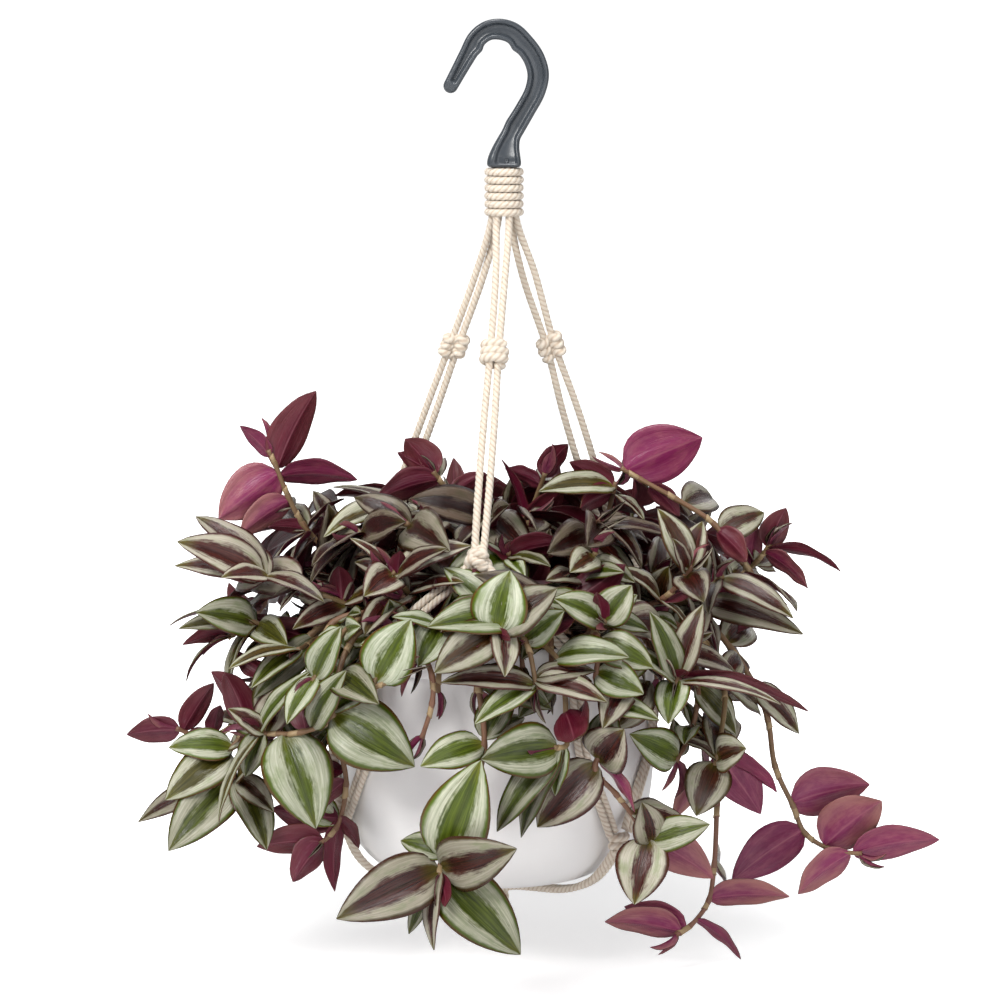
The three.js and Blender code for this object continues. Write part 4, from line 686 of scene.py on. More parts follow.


# Stems listed one by one: where each stands in the soil (x, y), its route after that in the front view, and
# its leaves (number of the point on the route, the tip of the leaf in the front view, width, face, droop)
HAND_STEMS = [
    ("stem_upright_left", (-46, 14),
     [(-64, -279, 12), (-79, -262, 8), (-98.5, -240, 4), (-106, -226, 2), (-112.5, -210, 0),
      (-116, -203, 0)],
     [(4, -92, -173, -4, 20, 150), (5, -130, -190.5, 0, 9, 150), (4, -141, -237.5, -6, 24, 168),
      (4, -71, -217.5, 4, 19, 128), (3, -130.5, -245.5, -6, 16, 150), (2, -116.5, -241, 0, 9, 140)]),
    ("stem_left_striped", (-44, -20),
     [(-60, -285, -28), (-82.5, -278, -34), (-104, -268, -38), (-121, -266, -40)],
     [(3, -161.5, -248.5, -52, 22, 35), (3, -157, -240, -28, 20, 55), (3, -163, -260.5, -36, 14, 40),
      (3, -144, -273, -60, 14, 60), (3, -87.5, -279, -58, 15, 60), (1, -80.5, -260.5, -38, 12, 170),
      (1, -29.5, -278.5, -62, 17, 62), (1, -104, -292.5, -50, 13, 30)]),
    ("stem_left_low", (-52, -6),
     [(-70, -283, -8), (-93, -288, -12), (-110, -295, -20), (-124.5, -289, -26), (-136, -297, -26)],
     [(3, -152, -284, -42, 20, 25), (3, -161, -292, -36, 13, 45), (3, -166, -290.5, -20, 14, 84, 70),
      (4, -159, -300, -22, 11, 135), (4, -157.5, -318.5, -28, 13, 86, 60),
      (3, -106.5, -300.5, -52, 16, 20)]),
    ("stem_top_left", (-26, 22),
     [(-32, -272, 22), (-44, -249, 18), (-40.5, -234.5, 15)],
     [(2, -88.5, -246.5, -22, 22, 60, 60), (2, -86, -224, 20, 16, 80), (1, -70.5, -234.5, -8, 12, 62),
      (1, -54.5, -232, -2, 10, 140)]),
    ("stem_top_maroon", (-8, 8),
     [(-9, -268, 10), (-15, -240, 8), (-28, -221, 5), (-33.5, -213.5, 3)],
     [(3, -47.5, -197, 0, 17, 165), (3, -53, -207, 6, 11, 150), (3, -62.5, -228, -6, 18, 140),
      (2, -7, -214, 9, 10, 150), (2, -40, -234.5, -14, 12, 50), (1, -34, -243, -14, 12, 60)]),
    ("stem_centre_left", (-30, -30),
     [(-38, -285, -42), (-47, -273, -54), (-54, -264, -60)],
     [(2, -14, -250.5, -58, 20, 55), (2, -19, -257, -74, 15, 66), (2, -50, -253, -62, 9, 165),
      (2, -75, -246.5, -54, 12, 60), (2, -68, -276, -86, 19, 20), (1, -21, -273.5, -84, 13, 66)]),
    ("stem_upper_right", (46, 12),
     [(64, -281, 14), (90, -279, 9), (112, -272, -4), (125.5, -265.5, -8), (118.5, -256.5, -6),
      (107, -240, -4), (88, -227.5, -2), (70, -217.5, 0), (60.5, -212, 0)],
     [(8, 101.5, -196.5, -10, 28, 165), (5, 124, -259, -22, 13, 150), (5, 132.5, -234, 6, 17, 25),
      (7, 90, -236, 8, 11, 150)]),
    ("stem_right_sprig", (52, 26),
     [(72, -280, 24), (98, -277, 16), (120, -266, 10), (129, -258, 6), (135, -250, 3)],
     [(4, 143, -231.5, 2, 14, 160), (4, 171, -263.5, -4, 13, 112, 50), (4, 154.5, -272, -8, 13, 125),
      (3, 128, -240, 16, 13, 160)]),
    ("stem_right_rosette", (42, -16),
     [(60, -284, -28), (82, -277, -40), (96.5, -261, -46)],
     [(2, 79, -232, -42, 16, 30), (2, 101, -237, -38, 15, 25), (2, 86.5, -247, -58, 9, 40),
      (2, 102, -279, -64, 18, 15), (1, 60, -262, -50, 14, 60)]),
    ("stem_right_striped", (58, 2),
     [(78, -283, 5), (98, -277, -12), (111, -266, -27)],
     [(2, 147, -287, -46, 15, 40), (1, 152, -295, -34, 17, 30), (2, 104, -285, -52, 12, 45),
      (2, 137, -290, -18, 14, 140), (1, 101, -297, -46, 12, 30)]),
    ("stem_front_rosette", (9, -50),
     [(12, -297, -72), (13, -288, -92), (5, -289, -108), (-3.5, -294.5, -117)],
     [(3, 5, -263, -113, 26, 12), (3, 27.5, -272.5, -122, 21, 20), (3, -33, -314.5, -127, 21, 15),
      (3, 2.5, -316.5, -130, 14, 20), (3, 6, -298, -130, 5, 150)]),
    ("stem_front_green", (-46, -34),
     [(-43, -297, -58), (-45, -296, -80), (-56, -306, -98), (-63, -321, -103), (-51, -317, -105)],
     [(3, -44.5, -287.5, -106, 25, 10), (2, -70, -300, -104, 12, 40)]),
    ("stem_front_round", (-27, -50),
     [(-30, -297, -70), (-32, -293, -86), (-29, -291, -98)],
     [(2, -41, -311, -106, 21, 15), (2, -54, -286, -102, 12, 60), (2, -19, -283, -104, 12, 60)]),
    ("stem_left_rosette", (-54, -38),
     [(-64, -291, -58), (-75, -300, -74), (-82, -320, -88), (-84, -337, -91), (-99, -344, -87),
      (-111, -345, -81), (-123, -344, -77)],
     [(3, -42.5, -361.5, -104, 31, 8), (5, -92, -392.5, -98, 31, 12), (4, -77, -313, -100, 16, 30),
      (6, -107, -320, -66, 18, 25), (6, -94.5, -313, -86, 12, 50), (6, -141.5, -390.5, -90, 14, 70),
      (6, -131, -366, -78, 15, 26), (6, -136, -332, -82, 11, 34), (6, -129.5, -336, -90, 6, 150)]),
    ("stem_lower_left", (-60, -22),
     [(-76, -288, -26), (-94, -295, -32), (-114, -318, -40), (-127, -343, -46), (-136, -356, -50),
      (-131, -370, -54)],
     [(4, -167.5, -378, -68, 21, 20), (5, -166, -403.5, -76, 25, 15), (4, -166, -353.5, -50, 18, 40),
      (5, -181.5, -389, -52, 14, 30), (5, -121, -406, -68, 20, 35), (5, -113, -384, -64, 14, 30)]),
    ("stem_left_sprig", (-54, 26),
     [(-74, -281, 26), (-96, -290, 20), (-117, -318, 10), (-134, -341, 0), (-148, -347, -6),
      (-162, -342, -8)],
     [(5, -187, -345, -12, 14, 155), (5, -143, -319, -10, 12, 160), (4, -140, -330, -10, 9, 150),
      (4, -165, -352, -8, 10, 130), (2, -128, -345, 0, 14, 40)]),
    ("stem_left_middle", (-64, -8),
     [(-80, -288, -16), (-94, -299, -36), (-101, -303, -54)],
     [(2, -139, -312, -72, 15, 64), (2, -126, -316, -76, 13, 45), (1, -125, -332, -44, 17, 30)]),
    ("stem_left_front", (-49, -45),
     [(-60, -283, -56), (-80, -296, -78), (-94, -319, -90)],
     [(2, -79.5, -291, -94, 16, 20), (2, -107, -340, -104, 14, 35), (1, -70, -291, -98, 12, 30)]),
    ("stem_bottom_rosette", (-12, -52),
     [(-13, -302, -74), (-14, -296, -93), (-11, -320, -104), (-8, -352, -108), (-17, -385, -112),
      (-30, -411, -116), (-30, -417, -120)],
     [(3, -40, -361, -120, 18, 30), (5, -9.5, -358, -132, 30, 8), (6, -82, -437.5, -140, 27, 12),
      (6, 18, -396, -140, 26, 15), (6, 10.5, -455.5, -130, 29, 10), (6, -33.5, -453.5, -136, 13, 55),
      (6, -46, -445.5, -114, 10, 20), (5, -50, -398, -106, 14, 30), (6, -27, -432, -142, 7, 150)]),
    ("stem_bare", (-38, -44),
     [(-41, -294, -66), (-42, -297, -90), (-34, -316, -101), (-34, -330, -102), (-39, -347, -101)],
     []),
    ("stem_front_middle", (22, -46),
     [(20, -297, -70), (18, -297, -88), (30, -310, -101), (33, -336, -105), (33, -351, -107),
      (27, -352, -111)],
     [(5, -9.5, -357.5, -122, 25, 10), (5, -2, -394, -114, 17, 30), (5, 10, -397, -104, 15, 45),
      (5, 18, -374, -112, 12, 20)]),
    ("stem_purple_rosette", (42, -38),
     [(52, -298, -60), (60, -296, -80), (62, -322, -92), (56, -345, -98), (47.5, -362, -104),
      (58, -375, -101), (68, -388, -98), (77, -401.5, -98)],
     [(4, 16, -389.5, -112, 24, 12), (4, 62, -342.5, -114, 24, 15), (4, 68, -384, -112, 12, 115),
      (4, 56, -331, -102, 17, 20), (7, 71, -379, -106, 17, 20), (7, 105, -390, -106, 16, 20),
      (7, 67, -430.5, -108, 24, 10), (7, 107, -417, -92, 20, 165)]),
    ("stem_front_striped", (0, -36),
     [(1, -296, -60), (2, -290, -84), (13, -299, -103), (18.5, -323, -110)],
     [(3, -30, -319, -120, 15, 45), (3, -11.5, -336, -116, 13, 40), (3, 54, -329, -116, 15, 40),
      (3, 48, -318, -104, 13, 45), (2, 32, -283.5, -112, 16, 12), (3, -13, -340, -124, 13, 30)]),
    ("stem_right_low_rosette", (56, -24),
     [(70, -291, -38), (84, -293, -56), (90, -307, -72), (88, -321, -80)],
     [(3, 58, -299, -86, 13, 60), (3, 75, -283.5, -86, 15, 30), (3, 101, -281, -82, 15, 20),
      (3, 155, -333.5, -78, 14, 120), (3, 141, -330, -92, 14, 70), (3, 84, -340, -94, 17, 20),
      (3, 94, -313, -90, 6, 150)]),
    ("stem_front_right", (32, -44),
     [(40, -300, -68), (46, -293, -88), (50, -301, -97), (48, -316, -101), (51, -335, -103)],
     [(3, 72, -325, -110, 18, 12), (2, 77, -312, -104, 18, 20), (4, 80, -338, -110, 13, 40)]),
    ("stem_right_hanging", (64, -10),
     [(78, -288, -18), (93, -294, -32), (99, -325, -44), (95, -345, -52), (88, -359, -60)],
     [(4, 65, -345, -82, 19, 15), (3, 92, -350, -74, 13, 40), (2, 120, -345, -46, 16, 30)]),
    ("stem_right_cluster", (68, -1),
     [(82, -285, -4), (100, -296, -22), (112, -322, -42), (110, -348, -58), (107.5, -361, -64)],
     [(4, 98, -386, -78, 21, 12), (4, 123, -352, -70, 20, 35), (4, 139, -374, -62, 17, 118),
      (4, 133, -388, -52, 22, 165), (4, 86, -388, -60, 13, 150)]),
    ("stem_trailing_right", (62, 18),
     [(82, -281, 14), (102, -288, 6), (116, -303, -2), (128.5, -323, -8), (134, -338, -10),
      (137.5, -361, -10), (146.5, -381, -10), (152.5, -394.5, -10), (165, -402.5, -12),
      (181, -405, -14)],
     [(6, 185, -370, -6, 24, 160), (8, 191, -378, -22, 26, 165), (9, 220, -397.5, -18, 19, 150),
      (9, 148.5, -425, -22, 17, 150), (7, 115.5, -418.5, -16, 22, 165), (3, 150, -345, -4, 14, 30)]),
    ("stem_trailing_low", (60, 38),
     [(80, -280, 34), (100, -292, 20), (110, -315, -2), (111.5, -330, -14), (110, -352, -22),
      (108.5, -380, -28), (107, -411, -34), (104, -429, -38), (95, -441, -40), (88, -445.5, -42)],
     [(7, 145, -426, -40, 15, 155), (9, 52, -438.5, -46, 17, 150), (8, 121, -457.5, -44, 10, 125, 40),
      (9, 62, -431, -34, 15, 160)]),
    ("stem_top_silver", (34, 20),
     [(42, -272, 20), (51, -245, 17), (58, -219, 14)],
     [(2, 19, -223.5, -2, 18, 50), (2, 34.5, -208.5, 16, 13, 150), (2, 39.5, -232, -6, 13, 150),
      (2, 72.5, -238, 0, 10, 62), (1, 22, -232, 8, 18, 130)]),
    ("stem_top_curled", (10, 28),
     [(11, -268, 26), (14, -240, 22), (22.5, -214.5, 18)],
     [(2, 34, -199.5, 14, 13, 150, 50), (1, 1, -207, 16, 9, 120), (1, 32, -222, 12, 15, 150),
      (2, 2.5, -212, 26, 10, 140)]),
    ("stem_centre", (6, -18),
     [(6, -276, -26), (5, -262, -38), (4, -254, -46)],
     [(2, 34, -249.5, -48, 16, 140), (2, 25.5, -261, -64, 11, 62), (2, 17, -266, -70, 9, 30)]),
    ("stem_centre_right", (28, -16),
     [(34, -280, -30), (42, -264, -44), (48, -254, -52)],
     [(2, 35, -264, -70, 15, 20), (1, 62, -264, -70, 12, 50), (1, 23, -268, -72, 13, 50),
      (2, 66, -268, -64, 12, 20)]),
    ("stem_front_upper_right", (34, -30),
     [(42, -288, -52), (49, -286, -76), (52, -289, -92)],
     [(2, 66, -270.5, -92, 18, 12), (2, 49, -271, -98, 8, 150), (2, 27, -277, -102, 17, 30)]),
]


# Cords

ROPE_SIDES = 18
ROPE_STEP = 0.75
ROPE_PITCH = 8.2
ROPE_GROOVE = 0.17


def rope(shape, route, radius=CORD_RADIUS, hint=(1, 0, 0.2), seed=0.0):
    """A cord of three plies twisted together along a route."""
    points = smooth_route(route, ROPE_STEP)
    across, other = carried_frames(points, hint)
    length = np.linalg.norm(np.diff(points, axis=0), axis=1).sum()
    travelled = np.linspace(0, length, len(points))
    angles = full_turn(ROPE_SIDES)
    section = radius * (1 - ROPE_GROOVE + ROPE_GROOVE * np.abs(np.cos(1.5 * angles)) ** 0.7)
    turned = angles[None] - (travelled / ROPE_PITCH * 2 * math.pi)[:, None] + seed * 5
    rings = (points[:, None]
             + across[:, None] * (np.cos(turned) * section)[:, :, None]
             + other[:, None] * (np.sin(turned) * section)[:, :, None])
    places = grid_places(len(points), ROPE_SIDES + 1, length / ROPE_PITCH)
    shape.tube(rings, places, (0, 0.5, seed))


def leg_point(azimuth, z):
    fall = (UPPER_KNOT_Z - z) / (UPPER_KNOT_Z - RIM_KNOT_Z)
    radius = UPPER_KNOT_REACH + (RIM_KNOT_REACH - UPPER_KNOT_REACH) * fall
    centring = LEG_CENTRE_SHARE + (1 - LEG_CENTRE_SHARE) * fall
    centre_x = HANG_X + (POT_X - HANG_X) * min(1, max(0, centring))
    return polar(azimuth, radius, z, centre_x)


def knot_axes(azimuth):
    """Down a leg, across it as seen from the front, and towards the viewer."""
    along = unit(leg_point(azimuth, LEG_BENDS_Z[1]) - leg_point(azimuth, LEG_BENDS_Z[0]))
    across = unit(np.array((-along[2], 0, along[0])))
    return along, across, unit(np.cross(along, across))


def strand_route(name, side):
    """One of the two cords of a leg, which lie side by side as seen from the front."""
    azimuth = LEG_AZIMUTHS[name]
    top = polar(azimuth + side * BUNDLE_TURN, BUNDLE_RADIUS, 0, HANG_X)
    across = knot_axes(azimuth)[1] * (-side if math.sin(math.radians(azimuth)) > 0 else side)
    return [
        (top[0], top[1], SOCKET_TOP - 0.6),
        (top[0], top[1], WRAP_TOP - 8),
        polar(azimuth + side * BUNDLE_TURN, FAN_RADIUS, WRAP_BOTTOM - 2.5, HANG_X),
        leg_point(azimuth, LEG_BELLY_Z) + across * BELLY_SPREADS[name],
        leg_point(azimuth, UPPER_KNOT_Z) + across * KNOT_SPREAD,
        leg_point(azimuth, LEG_BENDS_Z[0]) + across * PAIR_SPREADS[name],
        leg_point(azimuth, LEG_BENDS_Z[1]) + across * PAIR_SPREADS[name],
        leg_point(azimuth, RIM_KNOT_Z) + across * KNOT_SPREAD,
    ]


# The cord of a knot, which is a little slack, and the points of a turn in each kind of knot
KNOT_CORD = 2.2
WRAPPED_STEPS = 14
PAIRED_STEPS = 26
OVERHAND_STEPS = 63
DOWN = np.array((0.0, 0.0, -1.0))


def tie(shape, centre, axes, rows, seed, cord=KNOT_CORD):
    """A knot's cord, whose points are given as distances down, across and towards the viewer."""
    down, across, outward = axes
    route = [centre + down * a + across * b + outward * c for a, b, c in rows]
    rope(shape, route, radius=cord, hint=down, seed=seed)


def wrapped_knot(shape, centre, axes, wide, deep, length, turns, seed, tilt=0.0, cord=KNOT_CORD):
    """Turns of cord laid one below the other round the strands, with both ends tucked in."""
    rows = [(-length * 0.42, -wide * 0.2, 0)]
    count = int(turns * WRAPPED_STEPS)
    for i in range(count + 1):
        share = i / count
        angle = share * turns * 2 * math.pi + 0.6
        down = (share - 0.5) * length + tilt * math.cos(angle)
        rows.append((down, math.cos(angle) * wide, math.sin(angle) * deep))
    rows.append((length * 0.42, wide * 0.2, 0))
    tie(shape, centre, axes, rows, seed, cord)


def paired_knot(shape, centre, axes, wide, deep, length, turns, seed):
    """Cord laid in figures of eight round both strands, which shows as two columns of turns."""
    rows = [(-length * 0.4, 0, 0)]
    count = int(turns * PAIRED_STEPS)
    for i in range(count + 1):
        share = i / count
        angle = share * turns * 2 * math.pi + 0.3
        down = (share - 0.5) * length + math.sin(angle * 2) * 0.5
        # The turns stand out to the sides like the loops of an eight, full and round
        side = math.copysign(abs(math.sin(angle)) ** 0.8, math.sin(angle))
        rows.append((down, side * wide, math.sin(2 * angle) * deep))
    rows.append((length * 0.4, 0, 0))
    tie(shape, centre, axes, rows, seed)


def overhand_knot(shape, centre, axes, wide, long, deep, seed, turn=0.0):
    """A cord drawn round and through itself, lying flat against what it holds."""
    rows = []
    for i in range(OVERHAND_STEPS + 1):
        angle = i / OVERHAND_STEPS * 2 * math.pi * 0.985 + turn
        a = math.cos(angle) - 2 * math.cos(2 * angle)
        b = math.sin(angle) + 2 * math.sin(2 * angle)
        rows.append((a / 3 * long, b / 3 * wide, -math.sin(3 * angle) * deep))
    tie(shape, centre, axes, rows, seed)


WRAP_STEPS = 24
# The part of each turn, at the back, in which the wrapping cord drops to the next row
WRAP_DROP = 0.16


def make_wrap(cotton):
    shape = Shape()
    reach = WRAP_OUTER - CORD_RADIUS
    rows = []
    for i in range(WRAP_TURNS * WRAP_STEPS + 1):
        row, share = divmod(i / WRAP_STEPS, 1)
        dropped = 0.5 * max(0, 1 - share / WRAP_DROP) - 0.5 * max(0, 1 - (1 - share) / WRAP_DROP)
        level = min(WRAP_TURNS - 1, max(0, row - dropped))
        z = WRAP_TOP - CORD_RADIUS - 0.1 - level * (WRAP_CORD - 0.04)
        rows.append(polar(90 - i / WRAP_STEPS * 360, reach, z, HANG_X))
    # Both ends are tucked in among the strands
    first = polar(100, BUNDLE_RADIUS, rows[0][2] - 2, HANG_X)
    last = polar(80, BUNDLE_RADIUS, rows[-1][2] + 2, HANG_X)
    rope(shape, [first, *rows, last], radius=CORD_RADIUS + 0.05, hint=(0, 0, 1), seed=0.3)
    make_piece("wrapping_cord", shape, [cotton], ["gathering_wrap"])


def make_leg(name, cotton):
    azimuth = LEG_AZIMUTHS[name]
    shape = Shape()
    for side in (-1, 1):
        rope(shape, strand_route(name, side), seed=0.21 * side + azimuth * 0.013)
    axes = knot_axes(azimuth)
    upper = leg_point(azimuth, UPPER_KNOT_Z)
    rim = leg_point(azimuth, RIM_KNOT_Z)
    wide = KNOT_WIDTH / 2 - KNOT_CORD
    length = KNOT_LENGTH - KNOT_CORD * 2
    if name == "front":
        wrapped_knot(shape, upper, axes, wide, 3.6, length - 0.6, 2.8, 0.4, 0.5, KNOT_CORD + 0.2)
    elif name == "left":
        paired_knot(shape, upper, axes, wide - 0.2, 2.8, length, 3, 0.5)
    else:
        paired_knot(shape, upper, axes, wide, 3.2, length - 0.6, 2.6, 0.9)
    overhand_knot(shape, rim, axes, wide + 0.3, length * 0.52, 2.6, 0.2, 0.4)
    wrapped_knot(shape, rim, axes, wide - 1.4, 3.4, length * 0.6, 1.5, 0.7, 1.6)
    make_piece(f"leg_cords_{name}", shape, [cotton], [f"leg_{name}"])


# Routes of the doubled cords over the rim and down the pot: share of the way round to the lower knot,
# distance from the pot's axis, height
NET_ROUTE = [
    (0.04, 66.5, -252.5), (0.2, 72.5, -262), (0.38, 79.4, -275), (0.5, 84.6, -284), (0.57, 87.3, -291),
    (0.6, 87.4, -298), (0.62, 86.4, -307), (0.65, 83.6, -326), (0.71, 82.6, -348), (0.83, 81.8, -366),
]
# Route of the doubled cord from a lower knot to the bottom knot: distance from the pot's axis, height
UNDER_ROUTE = [
    (74.4, -402.5), (66.8, -410.6), (56, -416.6), (44, -419.8), (30, -421.2), (14, -423), (4.6, -426),
]


NET_END = 0.94
# The doubled cord starts a little inside and below its lower knot's middle
UNDER_START = (-1.2, -3)


def net_route(leg_azimuth, knot_azimuth, knot_z):
    sweep = (knot_azimuth - leg_azimuth + 180) % 360 - 180
    end = (NET_END, LOWER_KNOT_REACH, knot_z + LOWER_KNOT_LENGTH * LOWER_KNOT_TAIL)
    return [polar(leg_azimuth + sweep * share, radius, z) for share, radius, z in [*NET_ROUTE, end]]


BESIDE_STEP = 4
# How far each of two cords laid side by side is from their middle
PAIR_REACH = CORD_RADIUS * 1.03


def beside(route, across_at, amount):
    """The route moved to one side of itself."""
    points = smooth_route(route, BESIDE_STEP)
    return [point + across_at(point, along) * amount for point, along in zip(points, directions(points))]


def across_pot_side(point, along):
    return unit(np.cross(along, (point[0] - POT_X, point[1], 0)))


def make_net_cords(cotton):
    for lower, (azimuth, z, legs) in LOWER_KNOTS.items():
        for leg in legs:
            shape = Shape()
            route = net_route(LEG_AZIMUTHS[leg], azimuth, z)
            for side in (-1, 1):
                rope(shape, beside(route, across_pot_side, side * PAIR_REACH), seed=0.1 * side + z * 0.01)
            place = f"{lower}_from_{leg}_leg"
            make_piece("net_ropes_" + place, shape, [cotton], ["net_cord_" + place])


def make_under_cords(cotton):
    for lower, (azimuth, z, legs) in LOWER_KNOTS.items():
        shape = Shape()
        route = [polar(azimuth, LOWER_KNOT_REACH + UNDER_START[0], z + UNDER_START[1])]
        route += [polar(azimuth, radius, height) for radius, height in UNDER_ROUTE]
        across = polar(azimuth + 90, 1, 0, 0)
        for side in (-1, 1):
            rope(shape, beside(route, lambda point, along: across, side * PAIR_REACH), seed=0.3 * side)
        axes = (DOWN, unit(across), unit(polar(azimuth, 1, 0, 0)))
        wrapped_knot(shape, polar(azimuth, LOWER_KNOT_REACH, z), axes, 4.0, 2.8, 8.4, 2.3, 0.35, 0.7)
        make_piece(f"under_ropes_{lower}", shape, [cotton], [f"under_cord_{lower}"])


def make_bottom_knot(cotton):
    shape = Shape()
    axes = (DOWN, np.array((1.0, 0.0, 0.0)), np.array((0.0, -1.0, 0.0)))
    centre = polar(0, 0, BOTTOM_KNOT_TOP - BOTTOM_KNOT_LENGTH / 2)
    wrapped_knot(shape, centre, axes, 5.0, 5.0, BOTTOM_KNOT_LENGTH - 4, 2.5, 0.15, 0.8)
    overhand_knot(shape, centre, axes, 4.2, 4.4, 3.2, 0.6)
    low = BOTTOM_KNOT_TOP - BOTTOM_KNOT_LENGTH
    for i in range(TASSEL_ENDS):
        azimuth = i * 360 / TASSEL_ENDS + 20
        end = polar(azimuth, 3.9, low - TASSEL_LENGTH + 0.6 + i % 3)
        route = [polar(azimuth, 2.2, low + 5), polar(azimuth, 2.6, low), end]
        rope(shape, route, radius=TASSEL_RADIUS, seed=i * 0.17)
    make_piece("bottom_knot_cords", shape, [cotton], ["bottom_knot"])


# Hook

# Centreline of the hook from its tip to its foot, with half the band's width
HOOK_LINE = [
    (-24.3, -22.3, 3.6), (-20.2, -14.8, 3.9), (-15.9, -7.1, 4.3), (-11.4, 0.7, 4.7), (-6, 4.7, 4.9),
    (0, 5.4, 5.2), (6, 3.6, 5.3), (11.6, -1.6, 5.3), (16.6, -8.6, 5.3), (18.8, -16.6, 5.3),
    (17.2, -25, 5.1), (12.4, -34, 5), (7.6, -42, 5.2),
]
# The foot's edges in the front view (right x, z, left x, z), half its depth, and the widths of the rims
# beside its panel, right and left
HOOK_FOOT = [
    (10.2, -47.9, 1, -44, 4.4, 2.6, 3), (9.7, -49.8, -1.6, -48.4, 5.2, 2.4, 3.4),
    (9.6, -53.2, -4.2, -53.2, 6.6, 2.3, 3.9), (10.1, -57, -5.8, -57, 7.8, 2.3, 4.3),
    (10.4, -60, -6.4, -60, 8, 2.4, 4.4), (10.2, -61.2, -6.2, -61.2, 7.8, 2.4, 4.4),
    (9.5, HOOK_FOOT_BOTTOM, -5.3, HOOK_FOOT_BOTTOM, 7.1, 2.4, 4.2),
]
HOOK_RIM_WIDTH = 2.7
HOOK_EDGE_ROUNDING = 1.7
HOOK_FOOT_ROUNDING = 3.6
HOOK_PANEL_DEPTH = 1.7
HOOK_PANEL_END = -59.6
HOOK_STEP = 0.8
HOOK_LINE_STEP = 1.6
# The foot's hollow is this much wider than the bundle of cords in it
SOCKET_ROOM = 0.4
HOOK_CREASE = 40
# Small shoulders on the hook's inner edge, either side of where it rests (x, z), and how far they stand out
HOOK_SHOULDERS = [(-9.5, -4.8), (7.4, -3.6)]
SHOULDER_HEIGHT = 0.9
SHOULDER_WIDTH = 2.2
# The inner side of a rim: how far in from the panel's edge in parts of the rim, and how far down
RIM_SLOPE = [(0.27, 0.05), (0.15, 0.22), (0.04, 0.52), (-0.08, 0.84), (-0.28, 1.0)]


def hook_rows():
    """Rows from tip to foot: outer edge (x, z), inner edge (x, z), half the depth, and two rim widths."""
    line = smooth_route(HOOK_LINE, HOOK_LINE_STEP)
    along = directions(line[:, :2])
    across = np.stack([-along[:, 1], along[:, 0]], 1) * line[:, 2:]
    depth = np.full((len(line), 1), HOOK_THICKNESS / 2)
    rims = np.full((len(line), 2), HOOK_RIM_WIDTH)
    inner = line[:, :2] - across
    for shoulder in HOOK_SHOULDERS:
        gaps = np.linalg.norm(inner - shoulder, axis=1)
        rise = SHOULDER_HEIGHT * np.exp(-(gaps / SHOULDER_WIDTH) ** 2)
        inner = inner - across / np.linalg.norm(across, axis=1)[:, None] * rise[:, None]
    band = np.concatenate([line[:, :2] + across, inner, depth, rims], 1)
    return smooth_route([*band, *HOOK_FOOT], HOOK_STEP)


def half_section(half, depth, rim, panel, rounding):
    """From a side of the hook towards its middle: distance across, and towards the front."""
    flat = min(rounding, rim * 0.55)
    rows = [(half - flat + flat * math.cos(turn), depth - rounding + rounding * math.sin(turn))
            for turn in np.radians((0, 25, 50, 72, 90))]
    return rows + [(half - rim + rim * inward, depth - panel * down) for inward, down in RIM_SLOPE]


def hook_section(half, depth, outer_rim, inner_rim, panel, rounding):
    outer = half_section(half, depth, outer_rim, panel, rounding)
    inner = half_section(half, depth, inner_rim, panel, rounding)
    front = [(-a, b) for a, b in inner] + [(0, depth - panel)] + outer[::-1]
    return front + [(a, -b) for a, b in front[::-1]]


def hook_ring(centre, across, section):
    return [(centre[0] + across[0] * a, -b, centre[1] + across[1] * a) for a, b in section]


def make_hook(plastic):
    shape = Shape()
    rows = hook_rows()
    outer, inner = rows[:, :2], rows[:, 2:4]
    centres = (outer + inner) / 2
    halves = np.linalg.norm(outer - inner, axis=1) / 2
    across = (outer - inner) / 2 / halves[:, None]
    travelled = distances(centres)
    rings = []
    # The tip is a little ball
    back = np.array((-across[0][1], across[0][0]))
    for share in (0.98, 0.85, 0.6, 0.3, 0.0):
        size = HOOK_TIP_RADIUS * math.sqrt(1 - share ** 2)
        rings.append(hook_ring(centres[0] + back * share * HOOK_TIP_RADIUS, across[0],
                               hook_section(size, size, size * 0.7, size * 0.7, 0.0, size * 0.7)))
    for i, (_x, z, _inner_x, _inner_z, depth, outer_rim, inner_rim) in enumerate(rows[1:], 1):
        opened = min(1, max(0, (travelled[i] - 1.5) / 2.2))
        foot = min(1, max(0, (-46 - z) / 10))
        panel = (HOOK_THICKNESS - HOOK_WEB) / 2 * (1 - foot) + HOOK_PANEL_DEPTH * foot
        panel *= opened * min(1, max(0, (z - HOOK_PANEL_END) / 0.8 + 1))
        rounding = HOOK_EDGE_ROUNDING + (HOOK_FOOT_ROUNDING - HOOK_EDGE_ROUNDING) * foot
        rings.append(hook_ring(centres[i], across[i],
                               hook_section(halves[i], depth, outer_rim, inner_rim, panel, rounding)))
    # Below, the foot is hollow round the cords
    section = hook_section(halves[-1], rows[-1][4], 2.4, 4.2, 0.0, HOOK_FOOT_ROUNDING)
    bore = BUNDLE_RADIUS + CORD_RADIUS + SOCKET_ROOM
    for z in (HOOK_FOOT_BOTTOM, SOCKET_TOP):
        rings.append([(HANG_X + bore * a / math.hypot(a, b), -bore * b / math.hypot(a, b), z)
                      for a, b in section])
    shape.tube(rings)
    add_round_mark(shape)
    make_piece("hook_moulding", shape, [plastic], ["hook"], crease=HOOK_CREASE)


# The small raised ring at the lower end of the foot's panel: its middle (x, z), and its profile
# (radius, reach)
MARK_CENTRE = (3.1, -58.6)
MARK_PROFILE = [(1.4, 5.6), (1.35, 6.6), (1.1, 6.9), (0.8, 6.6), (0.3, 6.5)]
MARK_SIDES = 20


